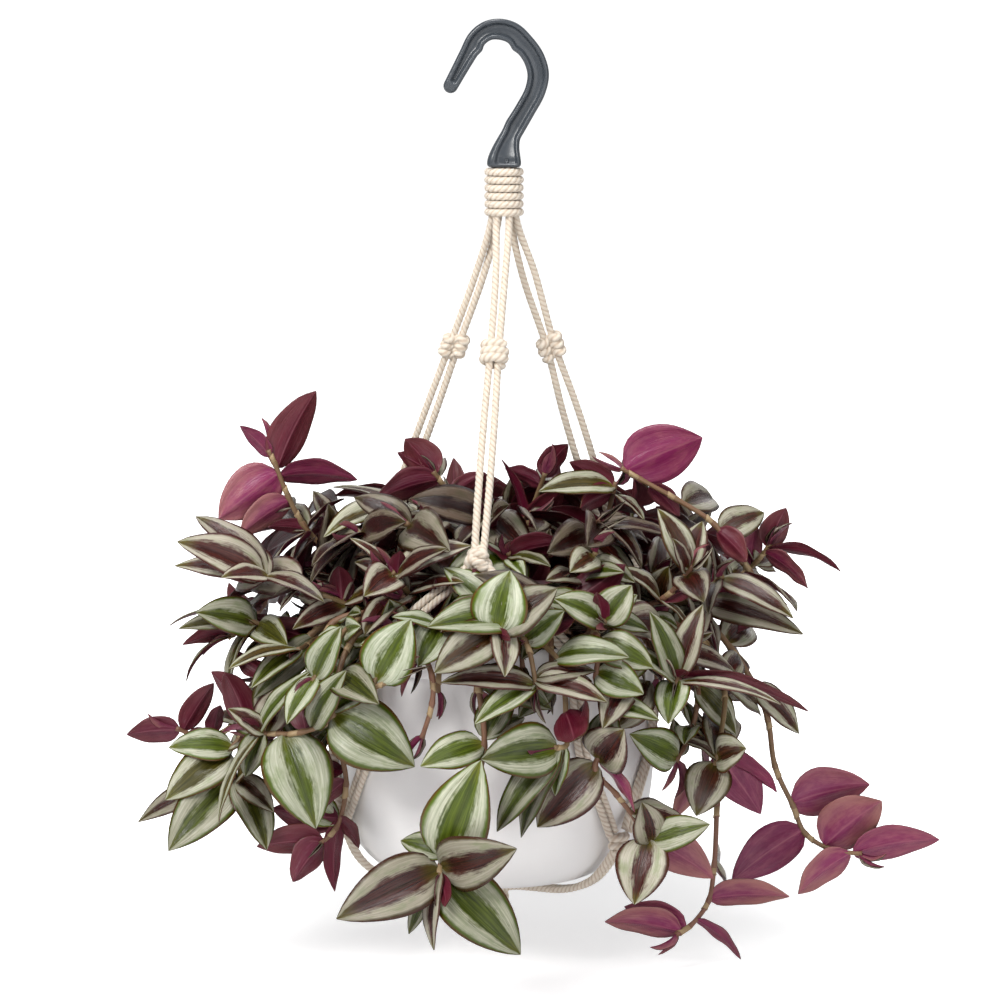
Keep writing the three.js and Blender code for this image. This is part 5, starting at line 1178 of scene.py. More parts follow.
def add_round_mark(shape):
    x, z = MARK_CENTRE
    rings = [[(x + radius * math.cos(turn), -reach, z + radius * math.sin(turn))
              for turn in full_turn(MARK_SIDES)] for radius, reach in MARK_PROFILE]
    shape.tube(rings)


# Chance

ALL_BITS = 0xFFFFFFFF


def make_random(seed):
    """Even random numbers from 0 to 1, the same ones each time for the same seed."""
    state = seed

    def following():
        nonlocal state
        state = (state + 0x6D2B79F5) & ALL_BITS
        value = ((state ^ (state >> 15)) * (1 | state)) & ALL_BITS
        value = ((value + (((value ^ (value >> 7)) * (61 | value)) & ALL_BITS)) & ALL_BITS) ^ value
        return (value ^ (value >> 14)) / (ALL_BITS + 1)
    return following


def drawn(random, bounds):
    """A random value, given by its least value and how much chance adds."""
    return bounds[0] + random() * bounds[1]


def either_way(random, spread):
    return (random() - 0.5) * spread


# Pot and soil

# Outside of the pot from the foot to the rim
POT_OUTSIDE = [
    (POT_FOOT_RADIUS, POT_BOTTOM), (52, -414), (64, -406.6), (72.4, -395.4), (77.6, -380),
    (POT_BODY_RADIUS, -358), (POT_BODY_RADIUS + 0.6, POT_BAND_BOTTOM - 1.6),
]
POT_BAND = [
    (POT_BODY_RADIUS + 1.2, POT_BAND_BOTTOM - 1.2), (POT_RIM_RADIUS - 1.2, POT_BAND_BOTTOM - 0.6),
    (POT_RIM_RADIUS - 0.5, POT_BAND_BOTTOM + 0.4), (POT_RIM_RADIUS - 0.2, POT_BAND_BOTTOM + 3),
    (POT_RIM_RADIUS, POT_RIM_TOP - 3), (POT_RIM_RADIUS - 0.3, POT_RIM_TOP - 0.9),
    (POT_RIM_RADIUS - 1.1, POT_RIM_TOP), (POT_RIM_RADIUS - 2.4, POT_RIM_TOP), (81.7, POT_RIM_TOP - 0.8),
]
# Inside of the pot from the rim to the floor
POT_INSIDE = [
    (81.3, POT_RIM_TOP - 3), (78.2, POT_BAND_BOTTOM - 2), (77.5, -358), (73.2, -386), (62.4, -404.4),
    (POT_FOOT_RADIUS, POT_BOTTOM + POT_WALL),
]
POT_SIDES = 128
POT_CREASE = 40
OUTSIDE_STEP = 3
INSIDE_STEP = 6
DRILL_SIDES = 24
# How far a drill stands out above and below the pot's floor
DRILL_MARGIN = 3


def turned_rings(profile, sides, centre_x=POT_X):
    angles = full_turn(sides)
    return np.stack([
        np.stack([centre_x + radius * np.cos(angles), radius * np.sin(angles), np.full(sides, z)], 1)
        for radius, z in profile
    ])


def smooth_profile(rows, step):
    return [(point[0], point[2]) for point in smooth_route([(radius, 0, z) for radius, z in rows], step)]


def floor_rings(z):
    """Rings of the pot's floor from near its middle to its foot."""
    return [(4, z), (12, z), (DRAIN_REACH + 6, z)]


def make_pot(plastic):
    shape = Shape()
    profile = [*floor_rings(POT_BOTTOM), *smooth_profile(POT_OUTSIDE, OUTSIDE_STEP), *POT_BAND,
               *smooth_profile(POT_INSIDE, INSIDE_STEP), *reversed(floor_rings(POT_BOTTOM + POT_WALL))]
    shape.tube(turned_rings(profile, POT_SIDES))
    piece = make_piece("bowl_pot", shape, [plastic], ["pot"], crease=POT_CREASE)
    azimuths = [45 + i * 360 / DRAIN_HOLES for i in range(DRAIN_HOLES)]
    drill_holes(piece, [polar(azimuth, DRAIN_REACH, POT_BOTTOM) for azimuth in azimuths])


def drill_holes(piece, places):
    drills = Shape()
    for place in places:
        heights = [place[2] - DRILL_MARGIN, place[2] + POT_WALL + DRILL_MARGIN]
        rings = turned_rings([(DRAIN_RADIUS, z) for z in heights], DRILL_SIDES, 0) + (place[0], place[1], 0)
        drills.tube(rings)
    cutter = new_object("drills", make_mesh("drills", drills))
    cut = piece.modifiers.new("drain holes", "BOOLEAN")
    cut.operation = "DIFFERENCE"
    cut.solver = "EXACT"
    cut.object = cutter
    shown = piece.evaluated_get(bpy.context.evaluated_depsgraph_get())
    drilled = bpy.data.meshes.new_from_object(shown)
    piece.modifiers.clear()
    plain = piece.data
    piece.data = drilled
    bpy.data.meshes.remove(plain)
    bpy.data.objects.remove(cutter)


SOIL_SIDES = 96
SOIL_ROWS = 34
# The soil's side and underside, inside the pot: distance from the pot's axis, height
SOIL_SIDE = [(SOIL_RADIUS - 0.2, SOIL_TOP - 6), (76.2, -358), (72, -385), (61, -403.6), (36, -413)]
# How close the soil's lumps are, the layer of the noise that gives them, and how high they are
LUMP_FINENESS = 0.09
LUMP_LAYER = 3.1
LUMP_HEIGHT = 1.6
CRUMBS = 500
# Least size of a crumb and how much chance adds, and the same for its unevenness
CRUMB_SIZES = (0.6, 1.5)
CRUMB_WIDTHS = (0.75, 0.5)
CRUMB_FLATNESS = 0.8
CRUMB_SIDES = 6
CRUMB_ANGLE = 1.047
ANY_TURN = 6.28
SOIL_SEED = 3


def soil_height(x, y):
    rough = noise.fractal((x * LUMP_FINENESS, y * LUMP_FINENESS, LUMP_LAYER), 1.0, 2.0, 5)
    return SOIL_TOP + rough * LUMP_HEIGHT


def make_soil(earth, random):
    shape = Shape()
    reaches = np.linspace(2, SOIL_RADIUS - 0.4, SOIL_ROWS)
    rings = turned_rings([(reach, SOIL_TOP) for reach in reaches], SOIL_SIDES)
    for ring in rings[:-1]:
        for point in ring:
            point[2] = soil_height(point[0], point[1])
    shape.tube(np.concatenate([rings, turned_rings(SOIL_SIDE, SOIL_SIDES)]))
    for _ in range(CRUMBS):
        azimuth, reach = random() * 360, math.sqrt(random()) * (SOIL_RADIUS - 4)
        x, y, _z = polar(azimuth, reach, 0)
        add_crumb(shape, (x, y, soil_height(x, y) + 0.3), drawn(random, CRUMB_SIZES), random)
    make_piece("potting_soil", shape, [earth], ["soil"])


def add_crumb(shape, centre, size, random):
    """A small irregular lump."""
    rings = []
    for level in (-0.7, 0.0, 0.7):
        width = math.sqrt(1 - level ** 2) * size
        first = random() * ANY_TURN
        rings.append([
            (centre[0] + math.cos(first + k * CRUMB_ANGLE) * width * drawn(random, CRUMB_WIDTHS),
             centre[1] + math.sin(first + k * CRUMB_ANGLE) * width * drawn(random, CRUMB_WIDTHS),
             centre[2] + level * size * CRUMB_FLATNESS)
            for k in range(CRUMB_SIDES)
        ])
    shape.tube(rings)


# Leaves and stems: where each stands, as in the part's source

def from_front(row):
    """Turns a point drawn in the front view (x, height, true depth) into its place."""
    x, height, depth = row
    tilt = math.radians(VIEW_TILT)
    above = height - VIEW_CENTRE_Z
    reach = VIEW_DISTANCE + depth * math.cos(tilt)
    rise = ((above * reach - depth * math.sin(tilt) * VIEW_DISTANCE)
            / (math.cos(tilt) * VIEW_DISTANCE + above * math.sin(tilt)))
    distance = reach - rise * math.sin(tilt)
    return np.array((x * distance / VIEW_DISTANCE, depth, VIEW_CENTRE_Z + rise), float)


class Leaf:
    """A leaf's base, the direction it leaves in, its upper side, and its size."""

    # Its place in its stem's list
    number = 99

    def __init__(self, base, direction, up, length, width, droop):
        self.base = base
        self.direction = direction
        self.up = up
        self.length = length
        self.width = width
        self.droop = droop

    def middle(self, share):
        whole = math.radians(self.droop)
        share = np.asarray(share, float)[..., None]
        forward = np.sin(whole * share) / whole
        down = (1 - np.cos(whole * share)) / whole
        return self.base + self.direction * self.length * forward - self.up * self.length * down

    def normal(self, share):
        bend = math.radians(self.droop) * np.asarray(share, float)[..., None]
        return self.direction * np.sin(bend) + self.up * np.cos(bend)

    def side(self):
        return np.cross(self.direction, self.up)


LEAF_WIDEST = (0.55 / 1.45) ** 0.55 * (0.9 / 1.45) ** 0.9


def leaf_outline(share):
    """Widest a third of the way along, drawn out to a point."""
    return share ** 0.55 * (1 - share) ** 0.9 / LEAF_WIDEST


def leaf_marks(leaf):
    """The corners of the leaf's plain solid, by which it is found again."""
    marks = [leaf.middle(1.0)]
    fold = math.radians(LEAF_FOLD)
    for share in ((0.12, 0.4, 0.74) if leaf.length > LONG_LEAF else (0.24, 0.66)):
        half = leaf.width / 2 * leaf_outline(share)
        middle, normal = leaf.middle(share), leaf.normal(share)
        for sign in (1, -1):
            marks.append(middle + leaf.side() * sign * half * math.cos(fold)
                         + normal * (half * math.sin(fold) - BLADE / 2))
        marks.append(middle - normal * BLADE / 2)
    return np.array(marks)


def arch(base, chord, upper, reach, width, droop):
    half = math.radians(droop) / 2
    direction = chord * math.cos(half) + upper * math.sin(half)
    up = upper * math.cos(half) - chord * math.sin(half)
    return Leaf(base, direction, up, reach * half / math.sin(half), width, droop)


def hand_leaf(base, row):
    _, x, height, depth, width, face = row[:6]
    droop = row[6] if len(row) > 6 else LEAF_DROOP
    chord = from_front((x, height, depth)) - base
    reach = np.linalg.norm(chord)
    chord = chord / reach
    tilt = math.radians(VIEW_TILT)
    viewer = np.array((0, -math.cos(tilt), math.sin(tilt)))
    facing = unit(viewer - chord * viewer.dot(chord))
    across = np.cross(chord, facing)
    if across[2] < 0:
        across = -across
    upper = facing * math.cos(math.radians(face)) + across * math.sin(math.radians(face))
    return arch(base, chord, upper, reach, width * LEAF_FULLNESS, droop)


RULE_LEAF = 42
RULE_LEAF_WIDTH = 0.55
# A leaf grown by rule: its least value, and how much chance adds
RULE_UPWARD = (0.5, 0.6)
RULE_OUTWARD = 0.75
RULE_SIZES = (0.84, 0.28)
RULE_DROOPS = (22, 30)
RULE_SWING = 30
RULE_LIFT = 40
RULE_LOWERED = 0.3


def rule_leaf(base, turn, size, random):
    outward = unit(np.array((base[0] - POT_X, base[1], 0)))
    facing = unit(np.array((0, 0, drawn(random, RULE_UPWARD))) + outward * RULE_OUTWARD)
    downhill = unit(np.array((0, 0, -1)) + facing * facing[2])
    across = np.cross(facing, downhill)
    swing = math.radians(turn + either_way(random, RULE_SWING))
    lift = math.radians((random() - RULE_LOWERED) * RULE_LIFT)
    level = downhill * math.cos(swing) + across * math.sin(swing)
    chord = level * math.cos(lift) + facing * math.sin(lift)
    upper = facing * math.cos(lift) - level * math.sin(lift)
    reach = size * drawn(random, RULE_SIZES)
    return arch(base, chord, upper, reach, reach * RULE_LEAF_WIDTH, drawn(random, RULE_DROOPS))


# Ways that a leaf may be bent clear of its neighbours: swing, lift and roll in degrees, length
LEAF_BENDS = [
    (0, 0, 0, 1), (6, 3, 8, 1), (-6, 3, -8, 1), (3, 10, 0, 1), (3, -10, 0, 1),
    (14, 4, 12, 1), (-14, 4, -12, 1), (10, 14, -14, 0.96), (-10, 14, 14, 0.96), (12, -14, 20, 0.96),
    (-12, -14, -20, 0.96), (2, 24, 0, 0.92), (2, -24, 0, 0.92), (26, 8, 26, 0.9), (-26, 8, -26, 0.9),
    (22, -20, 30, 0.88), (-22, -20, -30, 0.88), (5, 38, 0, 0.84), (5, -38, 0, 0.84), (38, 16, 34, 0.8),
    (-38, 16, -34, 0.8), (30, -34, 0, 0.74), (-30, -34, 0, 0.74), (0, 20, 60, 0.7), (0, 20, -60, 0.7),
    (0, 56, 0, 0.66), (48, 0, 0, 0.6), (-48, 0, 0, 0.6),
]


def turned_about(axis, degrees):
    """The matrix that turns a point about an axis."""
    x, y, z = axis
    cross = np.array(((0, -z, y), (z, 0, -x), (-y, x, 0)))
    turn = math.radians(degrees)
    return np.eye(3) + math.sin(turn) * cross + (1 - math.cos(turn)) * cross @ cross


def bent_leaf(leaf, bend):
    swing, lift, roll, scale = bend
    turn = turned_about(leaf.side(), lift) @ turned_about(leaf.up, swing)
    direction = turn @ leaf.direction
    up = turned_about(direction, roll) @ turn @ leaf.up
    bent = Leaf(leaf.base, direction, up, leaf.length * scale, leaf.width * scale, leaf.droop)
    bent.number = leaf.number
    return bent


def stem_marks(points):
    across = np.array((1.0, 0, 0))
    rings = []
    for i, point in enumerate(points):
        along = unit(points[min(len(points) - 1, i + 1)] - points[max(0, i - 1)])
        across = unit(across - along * across.dot(along))
        other = np.cross(along, across)
        radius = ROOT_RADIUS + (TIP_RADIUS - ROOT_RADIUS) * i / (len(points) - 1)
        for k in range(STEM_SIDES):
            turn = k / STEM_SIDES * 2 * math.pi
            rings.append(point + across * math.cos(turn) * radius + other * math.sin(turn) * radius)
    return np.array(rings)


# Ways that a listed stem may be moved clear of its neighbours: away from the viewer, and sideways
STEM_SHIFTS = [
    (0, 0), (2.5, 0), (-2.5, 0), (5, 0), (-5, 0), (2.5, 2.5), (-2.5, -2.5), (-2.5, 2.5), (2.5, -2.5),
    (8, 0), (-8, 0), (6, 4), (-6, -4), (-6, 4), (6, -4), (12, 0), (-12, 0), (10, 6), (-10, -6), (-10, 6),
    (10, -6), (0, 5), (0, -5), (0, 8), (0, -8), (5, 8), (-5, -8), (-5, 8), (5, -8), (16, 0), (-16, 0),
    (0, 11), (0, -11),
]
# How much of that the stem's tip takes part in
TIP_SHIFT = 0.4

# Clumps grown by rule: where each stands in the soil, and its stems (turn from the clump's azimuth,
# first elevation, fall at each joint, joints)
OUTER_STEMS = [(-16, 64, 18, 5), (14, 46, 26, 5)]
INNER_STEMS = [(-60, 72, 13, 4), (60, 70, 14, 4), (180, 74, 12, 4)]
CLUMPS = [
    ("clump_back", 90, 58, OUTER_STEMS), ("clump_back_right", 48, 60, OUTER_STEMS),
    ("clump_back_left", 132, 60, OUTER_STEMS), ("clump_middle_back", 95, 34, INNER_STEMS),
    ("clump_middle_left", 160, 24, INNER_STEMS), ("clump_middle_right", 20, 16, INNER_STEMS),
    ("clump_side_right", 66, 66, OUTER_STEMS), ("clump_side_left", 112, 66, OUTER_STEMS),
    ("clump_middle", -100, 6, INNER_STEMS),
]
CLUMP_SEED = 1000
FOOT_DEPTH = 3
CROWN_RISE = 2
JOINT_STEP = 21
JOINT_STEP_SHARES = (0.9, 0.25)
JOINT_ZIGZAG = 7
JOINT_TURN = 12
STEEPEST_FALL = -74
# Each try for a stem's route turns further aside, and the later ones rise more steeply
ROUTE_TRIES = 14
ROUTE_SPREAD = 7
ROUTE_TURN = 10
ROUTE_LIFT = 8
STEEPER_AFTER = 6


def clump_route(azimuth, reach, stem, attempt, random):
    turn, rise, fall, joints = stem
    foot = polar(azimuth, reach, SOIL_TOP - FOOT_DEPTH)
    points = [polar(azimuth, reach, SOIL_TOP - ROOT_DEPTH + CROWN_RISE), foot]
    spread = (-1 if attempt % 2 else 1) * math.ceil(attempt / 2) * ROUTE_SPREAD
    azimuth = azimuth + turn + spread + either_way(random, ROUTE_TURN)
    elevation = rise + (ROUTE_LIFT if attempt > STEEPER_AFTER else 0) + either_way(random, ROUTE_LIFT)
    point = foot
    for i in range(joints):
        step = JOINT_STEP * drawn(random, JOINT_STEP_SHARES)
        point = point + step * heading_in(azimuth + (JOINT_ZIGZAG if i % 2 else -JOINT_ZIGZAG), elevation)
        points.append(point)
        elevation = max(STEEPEST_FALL, elevation - fall)
        azimuth += either_way(random, JOINT_TURN)
    return points


def heading_in(azimuth, elevation):
    """The direction with this azimuth and elevation."""
    heading, slope = math.radians(azimuth), math.radians(elevation)
    level = math.cos(slope)
    return np.array((math.cos(heading) * level, math.sin(heading) * level, math.sin(slope)))


def leaf_root(points, joint, number):
    along = unit(points[joint] - points[joint - 1])
    return points[joint] - along * (LEAF_SINK + LEAF_STAGGER * (number % 4))


def stem_start(root, depth):
    """The first two points of a listed stem, which stands upright in the soil."""
    return [np.array((*root, z), float) for z in (SOIL_TOP - depth, SOIL_TOP + ROOT_RISE)]


def hand_leaves(points, rows):
    return [hand_leaf(leaf_root(points, row[0] + ROOT_POINTS, i), row) for i, row in enumerate(rows)]


# Leaves stand in turn to the left and right of a clump's stem, and three close its end
SIDE_LEAF_TURN = 62
END_LEAF_TURNS = (66, -66, 4)
FIRST_LEAF_JOINT = 3


def clump_leaves(points, random):
    last = len(points) - 1
    leaves = []
    for i in range(len(points) - FIRST_LEAF_JOINT):
        joint = i + FIRST_LEAF_JOINT
        turns = END_LEAF_TURNS if joint == last else (SIDE_LEAF_TURN if i % 2 else -SIDE_LEAF_TURN,)
        for number, turn in enumerate(turns):
            leaves.append(rule_leaf(leaf_root(points, joint, number), turn, RULE_LEAF, random))
    return leaves


# A listed stem also carries a leaf by rule at every fourth joint, if it has none there
FILLING_LEAF_TURN = 70


def filling_leaves(rows, points, random):
    taken = {row[0] + ROOT_POINTS for row in rows}
    leaves = []
    for i in range(len(points) - ROOT_POINTS):
        if i % 4 == 2 and i + ROOT_POINTS not in taken and rows:
            turn = FILLING_LEAF_TURN if random() < 0.5 else -FILLING_LEAF_TURN
            leaves.append(rule_leaf(leaf_root(points, i + ROOT_POINTS, i), turn, RULE_LEAF, random))
    return leaves


# Finding each stem and leaf of the frame again

# How near a mark has to be to a corner, and the fewest of a leaf's marks that have to be found
MATCH = 0.06
FEWEST_MARKS = 3


def node_points(name):
    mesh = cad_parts[name].data
    points = np.empty(len(mesh.vertices) * 3)
    mesh.vertices.foreach_get("co", points)
    return points.reshape(-1, 3) / MM


def found(marks, corners):
    """How many of the marks are corners of the node."""
    gaps = np.linalg.norm(marks[:, None] - corners[None], axis=2).min(1)
    return int((gaps < MATCH).sum())


def standing_leaf(leaf, corners):
    """The leaf as bent in the frame, or nothing where the frame has none."""
    best, most = None, FEWEST_MARKS - 1
    for bend in LEAF_BENDS:
        trial = bent_leaf(leaf, bend)
        count = found(leaf_marks(trial), corners)
        if count > most:
            best, most = trial, count
    return best


def standing_leaves(leaves, corners):
    return [found_leaf for found_leaf in (standing_leaf(leaf, corners) for leaf in leaves) if found_leaf]


class Plant:
    """One node's stems and leaves, and the sprigs beside them. Clumps are the inner mass."""

    def __init__(self, name, stems=()):
        self.name = name
        self.inner = name.startswith("clump")
        self.stems = list(stems)
        self.leaves = []
        self.sprigs = []


def hand_plant(number, entry):
    name, root, route, rows = entry
    corners = node_points(name)
    best, most = None, -1
    for away, aside in STEM_SHIFTS:
        points = stem_start(root, ROOT_DEPTH)
        for i, row in enumerate(route):
            share = TIP_SHIFT if i == len(route) - 1 else 1
            points.append(from_front(row) + np.array((aside * share, away * share, 0)))
        count = found(stem_marks(points), corners)
        if count > most:
            best, most = points, count
    plant = Plant(name, [best])
    leaves = hand_leaves(best, rows)
    for i, leaf in enumerate(leaves):
        leaf.number = i
    plant.leaves = standing_leaves(leaves + filling_leaves(rows, best, make_random(number + 1)), corners)
    return plant


def clump_plant(number, entry):
    name, azimuth, reach, stems = entry
    corners = node_points(name)
    random = make_random(CLUMP_SEED + number)
    plant = Plant(name)
    for stem in stems:
        for attempt in range(ROUTE_TRIES):
            points = clump_route(azimuth, reach, stem, attempt, random)
            marks = stem_marks(points)
            if found(marks, corners) * 2 < len(marks):
                continue
            plant.stems.append(points)
            plant.leaves += standing_leaves(clump_leaves(points, random), corners)
            break
    return plant


# Foliage

# Rows and columns of a leaf's faces. The many leaves of the inner mass and the young ones have fewer
LEAF_GRID = (13, 8)
INNER_LEAF_GRID = (11, 6)
YOUNG_LEAF_GRID = (8, 6)
LEAF_THICKNESS = 0.5
LEAF_CROWN = 0.13
# How much chance adds to a leaf's fold, from a little below it
FOLD_SPREAD = 14
FOLD_LOWERED = 0.3
# Where the leaf's rows of faces begin and end, short of its base and tip
LEAF_START = 0.02
LEAF_END = 0.985
# A leaf's edges are wavy: how high the waves are, how close, and how far one edge's are behind the other's
RIPPLE_HEIGHTS = (0.25, 0.4)
RIPPLE_WAVES = 13
RIPPLE_LAG = 1.3
# A young leaf's fold, length, droop and slenderness
YOUNG_FOLD = 66
YOUNG_LENGTHS = (11, 9)
YOUNG_DROOPS = (20, 40)
YOUNG_WIDTH = 0.42
YOUNG_SINK = 1.5
YOUNG_TILT = 0.8
YOUNG_LEAVES = 2

# Each stem's own leaves: one value for them all, or one for each leaf in the order of the stem's list, the
# last one for any more. First how pale their undersides are, from deep maroon at 0 to magenta at 1
# The paler undersides are partly the leaves' own tone and partly painted light, for light through backlit
# leaves
PALE_UNDERSIDES = {
    "stem_upright_left": (0.4, 0.2, 1.0, 0.7, 0.5), "stem_upper_right": (1.0, 0.2, 0.4, 0.5),
    "stem_trailing_right": 1.0, "stem_trailing_low": 0.95, "stem_right_cluster": 0.8,
    "stem_right_striped": 0.7, "stem_purple_rosette": 0.7, "stem_right_sprig": 0.35,
}
# How much of a leaf's seed its paleness gives, and how much chance does
SEED_SHARES = (0.55, 0.45)

# Then how purple their upper sides are, from green at 0 to purple-brown at 1
LEAF_KINDS = {
    "stem_upright_left": 0.8, "stem_left_striped": 0.95, "stem_left_low": 0.5, "stem_top_left": 0.6,
    "stem_top_maroon": 0.9, "stem_centre_left": 0.9, "stem_upper_right": 0.7, "stem_right_sprig": 0.7,
    "stem_right_rosette": (0.6, 0.8, 1.0, 0.9, 0.7), "stem_right_striped": 0.85,
    "stem_front_rosette": (0.1, 0.75, 0.6, 0.85, 1.0, 0.2), "stem_front_green": 0.0,
    "stem_front_round": 0.1, "stem_left_rosette": (0.1, 0.2, 0.2, 0.9, 0.2, 0.6, 0.3, 0.7, 1.0, 0.4),
    "stem_lower_left": (0.6, 0.5, 0.4, 0.8, 0.5, 0.7), "stem_left_sprig": 0.7,
    "stem_left_middle": (0.7, 0.4, 0.3), "stem_left_front": (0.1, 0.3, 0.1),
    "stem_bottom_rosette": (0.3, 0.35, 0.75, 0.65, 0.05, 0.9, 0.4, 0.3, 1.0, 0.3),
    "stem_front_middle": (0.05, 0.2, 0.3, 0.1),
    "stem_purple_rosette": (0.85, 0.95, 0.6, 0.2, 0.8, 0.5, 0.8, 0.8),
    "stem_front_striped": (0.9, 0.3, 0.9, 0.8, 0.0, 0.3),
    "stem_right_low_rosette": (0.4, 0.3, 0.8, 0.9, 0.9, 0.3, 1.0),
    "stem_front_right": (0.05, 0.3, 0.2), "stem_right_hanging": (0.3, 0.2, 0.5),
    "stem_right_cluster": (0.75, 0.6, 0.5, 0.7, 0.7), "stem_trailing_right": 0.8, "stem_trailing_low": 0.85,
    "stem_top_silver": (0.6, 0.7, 0.5, 0.8, 0.9), "stem_top_curled": 0.85, "stem_centre": (0.7, 0.5, 0.3),
    "stem_centre_right": (0.6, 0.4, 0.7, 0.6), "stem_front_upper_right": (0.35, 1.0, 0.45),
}
# Kind of the leaves of the clumps and of any other stem, above a height and below it
UPPER_KIND = 0.8
LOWER_KIND = 0.35
UPPER_LEAF_Z = -275
KIND_SPREAD = 0.2
# Least lightness of a leaf and how much chance adds, inside the mass and outside it. The inner mass's leaves
# are darker as painted shade
INNER_SHADED_LIGHT = (0, 0.45)
OUTER_LIGHT = (0.45, 0.55)


def add_leaf(shape, leaf, tone, random, grid, fold=None):
    """A thin leaf, closed all round: upper side, edge and underside."""
    rows, columns = grid
    fold = math.radians(LEAF_FOLD + (random() - FOLD_LOWERED) * FOLD_SPREAD if fold is None else fold)
    share = np.linspace(LEAF_START, LEAF_END, rows)
    across = np.linspace(-1, 1, columns + 1)
    half = leaf.width / 2 * leaf_outline(share)
    middle, normal, side = leaf.middle(share), leaf.normal(share), leaf.side()
    wave = share[:, None] * RIPPLE_WAVES + random() * ANY_TURN + np.sign(across)[None] * RIPPLE_LAG
    ripple = drawn(random, RIPPLE_HEIGHTS) * np.sin(wave)
    # Each half is crowned, so that the midrib lies in a groove
    crown = LEAF_CROWN * np.sin(math.pi * np.abs(across))
    lift = (half[:, None] * (math.sin(fold) * np.abs(across) + crown)
            - BLADE * 0.4 + ripple * across ** 2 * np.minimum(1, half / 5)[:, None])
    width = half[:, None] * across * math.cos(fold)
    sheet = middle[:, None] + side * width[:, :, None] + normal[:, None] * lift[:, :, None]
    thickness = LEAF_THICKNESS * (1 - 0.45 * across ** 2)[None, :, None] / 2
    rings = np.concatenate([sheet + normal[:, None] * thickness,
                            (sheet - normal[:, None] * thickness)[:, ::-1]], 1)
    spots = np.concatenate([across, across[::-1], across[:1]]) / 2 + 0.5
    places = np.stack([np.broadcast_to(share[:, None], (rows, len(spots))),
                       np.broadcast_to(spots, (rows, len(spots)))], 2)
    finishes = np.array([0] * (columns + 1) + [1] * columns + [0])
    tip = leaf.middle(1.0) - leaf.normal(1.0) * BLADE * 0.3
    shape.tube(rings, places, tone, finishes, (leaf.base, tip))


def young_leaf(points, random):
    """A narrow rolled leaf at the end of a stem."""
    along = unit(points[-1] - points[-2])
    aside = unit(np.cross(along, (random() - 0.5, random() - 0.5, 0.3)))
    chord = unit(along + aside * (random() - 0.3) * YOUNG_TILT)
    upper = unit(np.cross(chord, np.cross(aside, chord)))
    length = drawn(random, YOUNG_LENGTHS)
    return arch(points[-1] - along * YOUNG_SINK, chord, upper, length, length * YOUNG_WIDTH,
                drawn(random, YOUNG_DROOPS))


STEM_STEP = 1.6
STEM_ROUNDNESS = 9
# A stem is a little thinner than its solid, and swells at its joints: how much, and over what length
STEM_FINENESS = 0.86
JOINT_SWELL = 0.3
JOINT_LENGTH = 1.8
STREAK_LENGTH = 24
# A sheath's profile: share of its length, and how much wider than the stem it is, outside and then inside
SHEATH_PROFILE = [(0, 1.04), (0.12, 1.2), (0.7, 1.16), (1.0, 1.34), (1.0, 1.12), (0.8, 1.0)]
SHEATH_LENGTHS = (4.5, 3)
SHEATH_SINK = 1.2
SHEATH_SLANT = 0.9
# No sheath stands this near the foot of a stem
BARE_FOOT = 8
# Their lightness, by which the finish tells a sheath from the stem, and the finish's place in the list
STEM_TONE = 0.2
SHEATH_TONE = 1.0
STEM_FINISH = 2


def round_ring(across, other):
    angles = full_turn(STEM_ROUNDNESS)
    return across * np.cos(angles)[:, None] + other * np.sin(angles)[:, None]


def add_stem(shape, points, kind, random):
    """A stem with swollen joints, each with a papery sheath above it."""
    route = smooth_route(points, STEM_STEP)
    across, other = carried_frames(route, (1, 0, 0))
    length = np.linalg.norm(np.diff(route, axis=0), axis=1).sum()
    travelled = np.linspace(0, length, len(route))
    joints = [travelled[np.linalg.norm(route - joint, axis=1).argmin()] for joint in points[ROOT_POINTS:]]
    share = travelled / length
    radius = (ROOT_RADIUS + (TIP_RADIUS - ROOT_RADIUS) * share) * STEM_FINENESS
    for joint in joints:
        radius = radius * (1 + JOINT_SWELL * np.exp(-((travelled - joint) / JOINT_LENGTH) ** 2))
    rings = route[:, None] + round_ring(across[:, None], other[:, None]) * radius[:, None, None]
    places = grid_places(len(route), STEM_ROUNDNESS + 1, length / STREAK_LENGTH)
    shape.tube(rings, places, (kind, STEM_TONE, random()), STEM_FINISH)
    for joint in joints:
        add_sheath(shape, route, across, other, travelled, joint - SHEATH_SINK, radius, random)


def add_sheath(shape, route, across, other, travelled, start, radius, random):
    length = drawn(random, SHEATH_LENGTHS)
    if start + length > travelled[-1] or start < BARE_FOOT:
        return
    thick = radius[np.searchsorted(travelled, start + length)]
    rings = []
    for share, swell in SHEATH_PROFILE:
        index = np.searchsorted(travelled, start + length * share)
        slant = np.cos(full_turn(STEM_ROUNDNESS)) * (SHEATH_SLANT if share == 1.0 else 0)
        direction = unit(route[index] - route[index - 1])
        rings.append(route[index] + round_ring(across[index], other[index]) * (thick * swell)
                     + direction * slant[:, None])
    shape.tube(rings, None, (0.5, SHEATH_TONE, random()), STEM_FINISH)


class Room:
    """The places that leaves, stems and cords already take."""

    CELL = 4.0
    # How far apart two of them have to be, along one axis at least
    DISTANCE = 2.0

    def __init__(self):
        self.cells = {}

    def cell(self, point):
        return tuple(int(math.floor(value / self.CELL)) for value in point)

    def fill(self, points):
        for point in points:
            self.cells.setdefault(self.cell(point), []).append(point)

    def clear(self, points):
        for point in points:
            x, y, z = self.cell(point)
            for dx, dy, dz in product((-1, 0, 1), repeat=3):
                for other in self.cells.get((x + dx, y + dy, z + dz), ()):
                    if (abs(other[0] - point[0]) < self.DISTANCE and abs(other[1] - point[1]) < self.DISTANCE
                            and abs(other[2] - point[2]) < self.DISTANCE):
                        return False
        return True


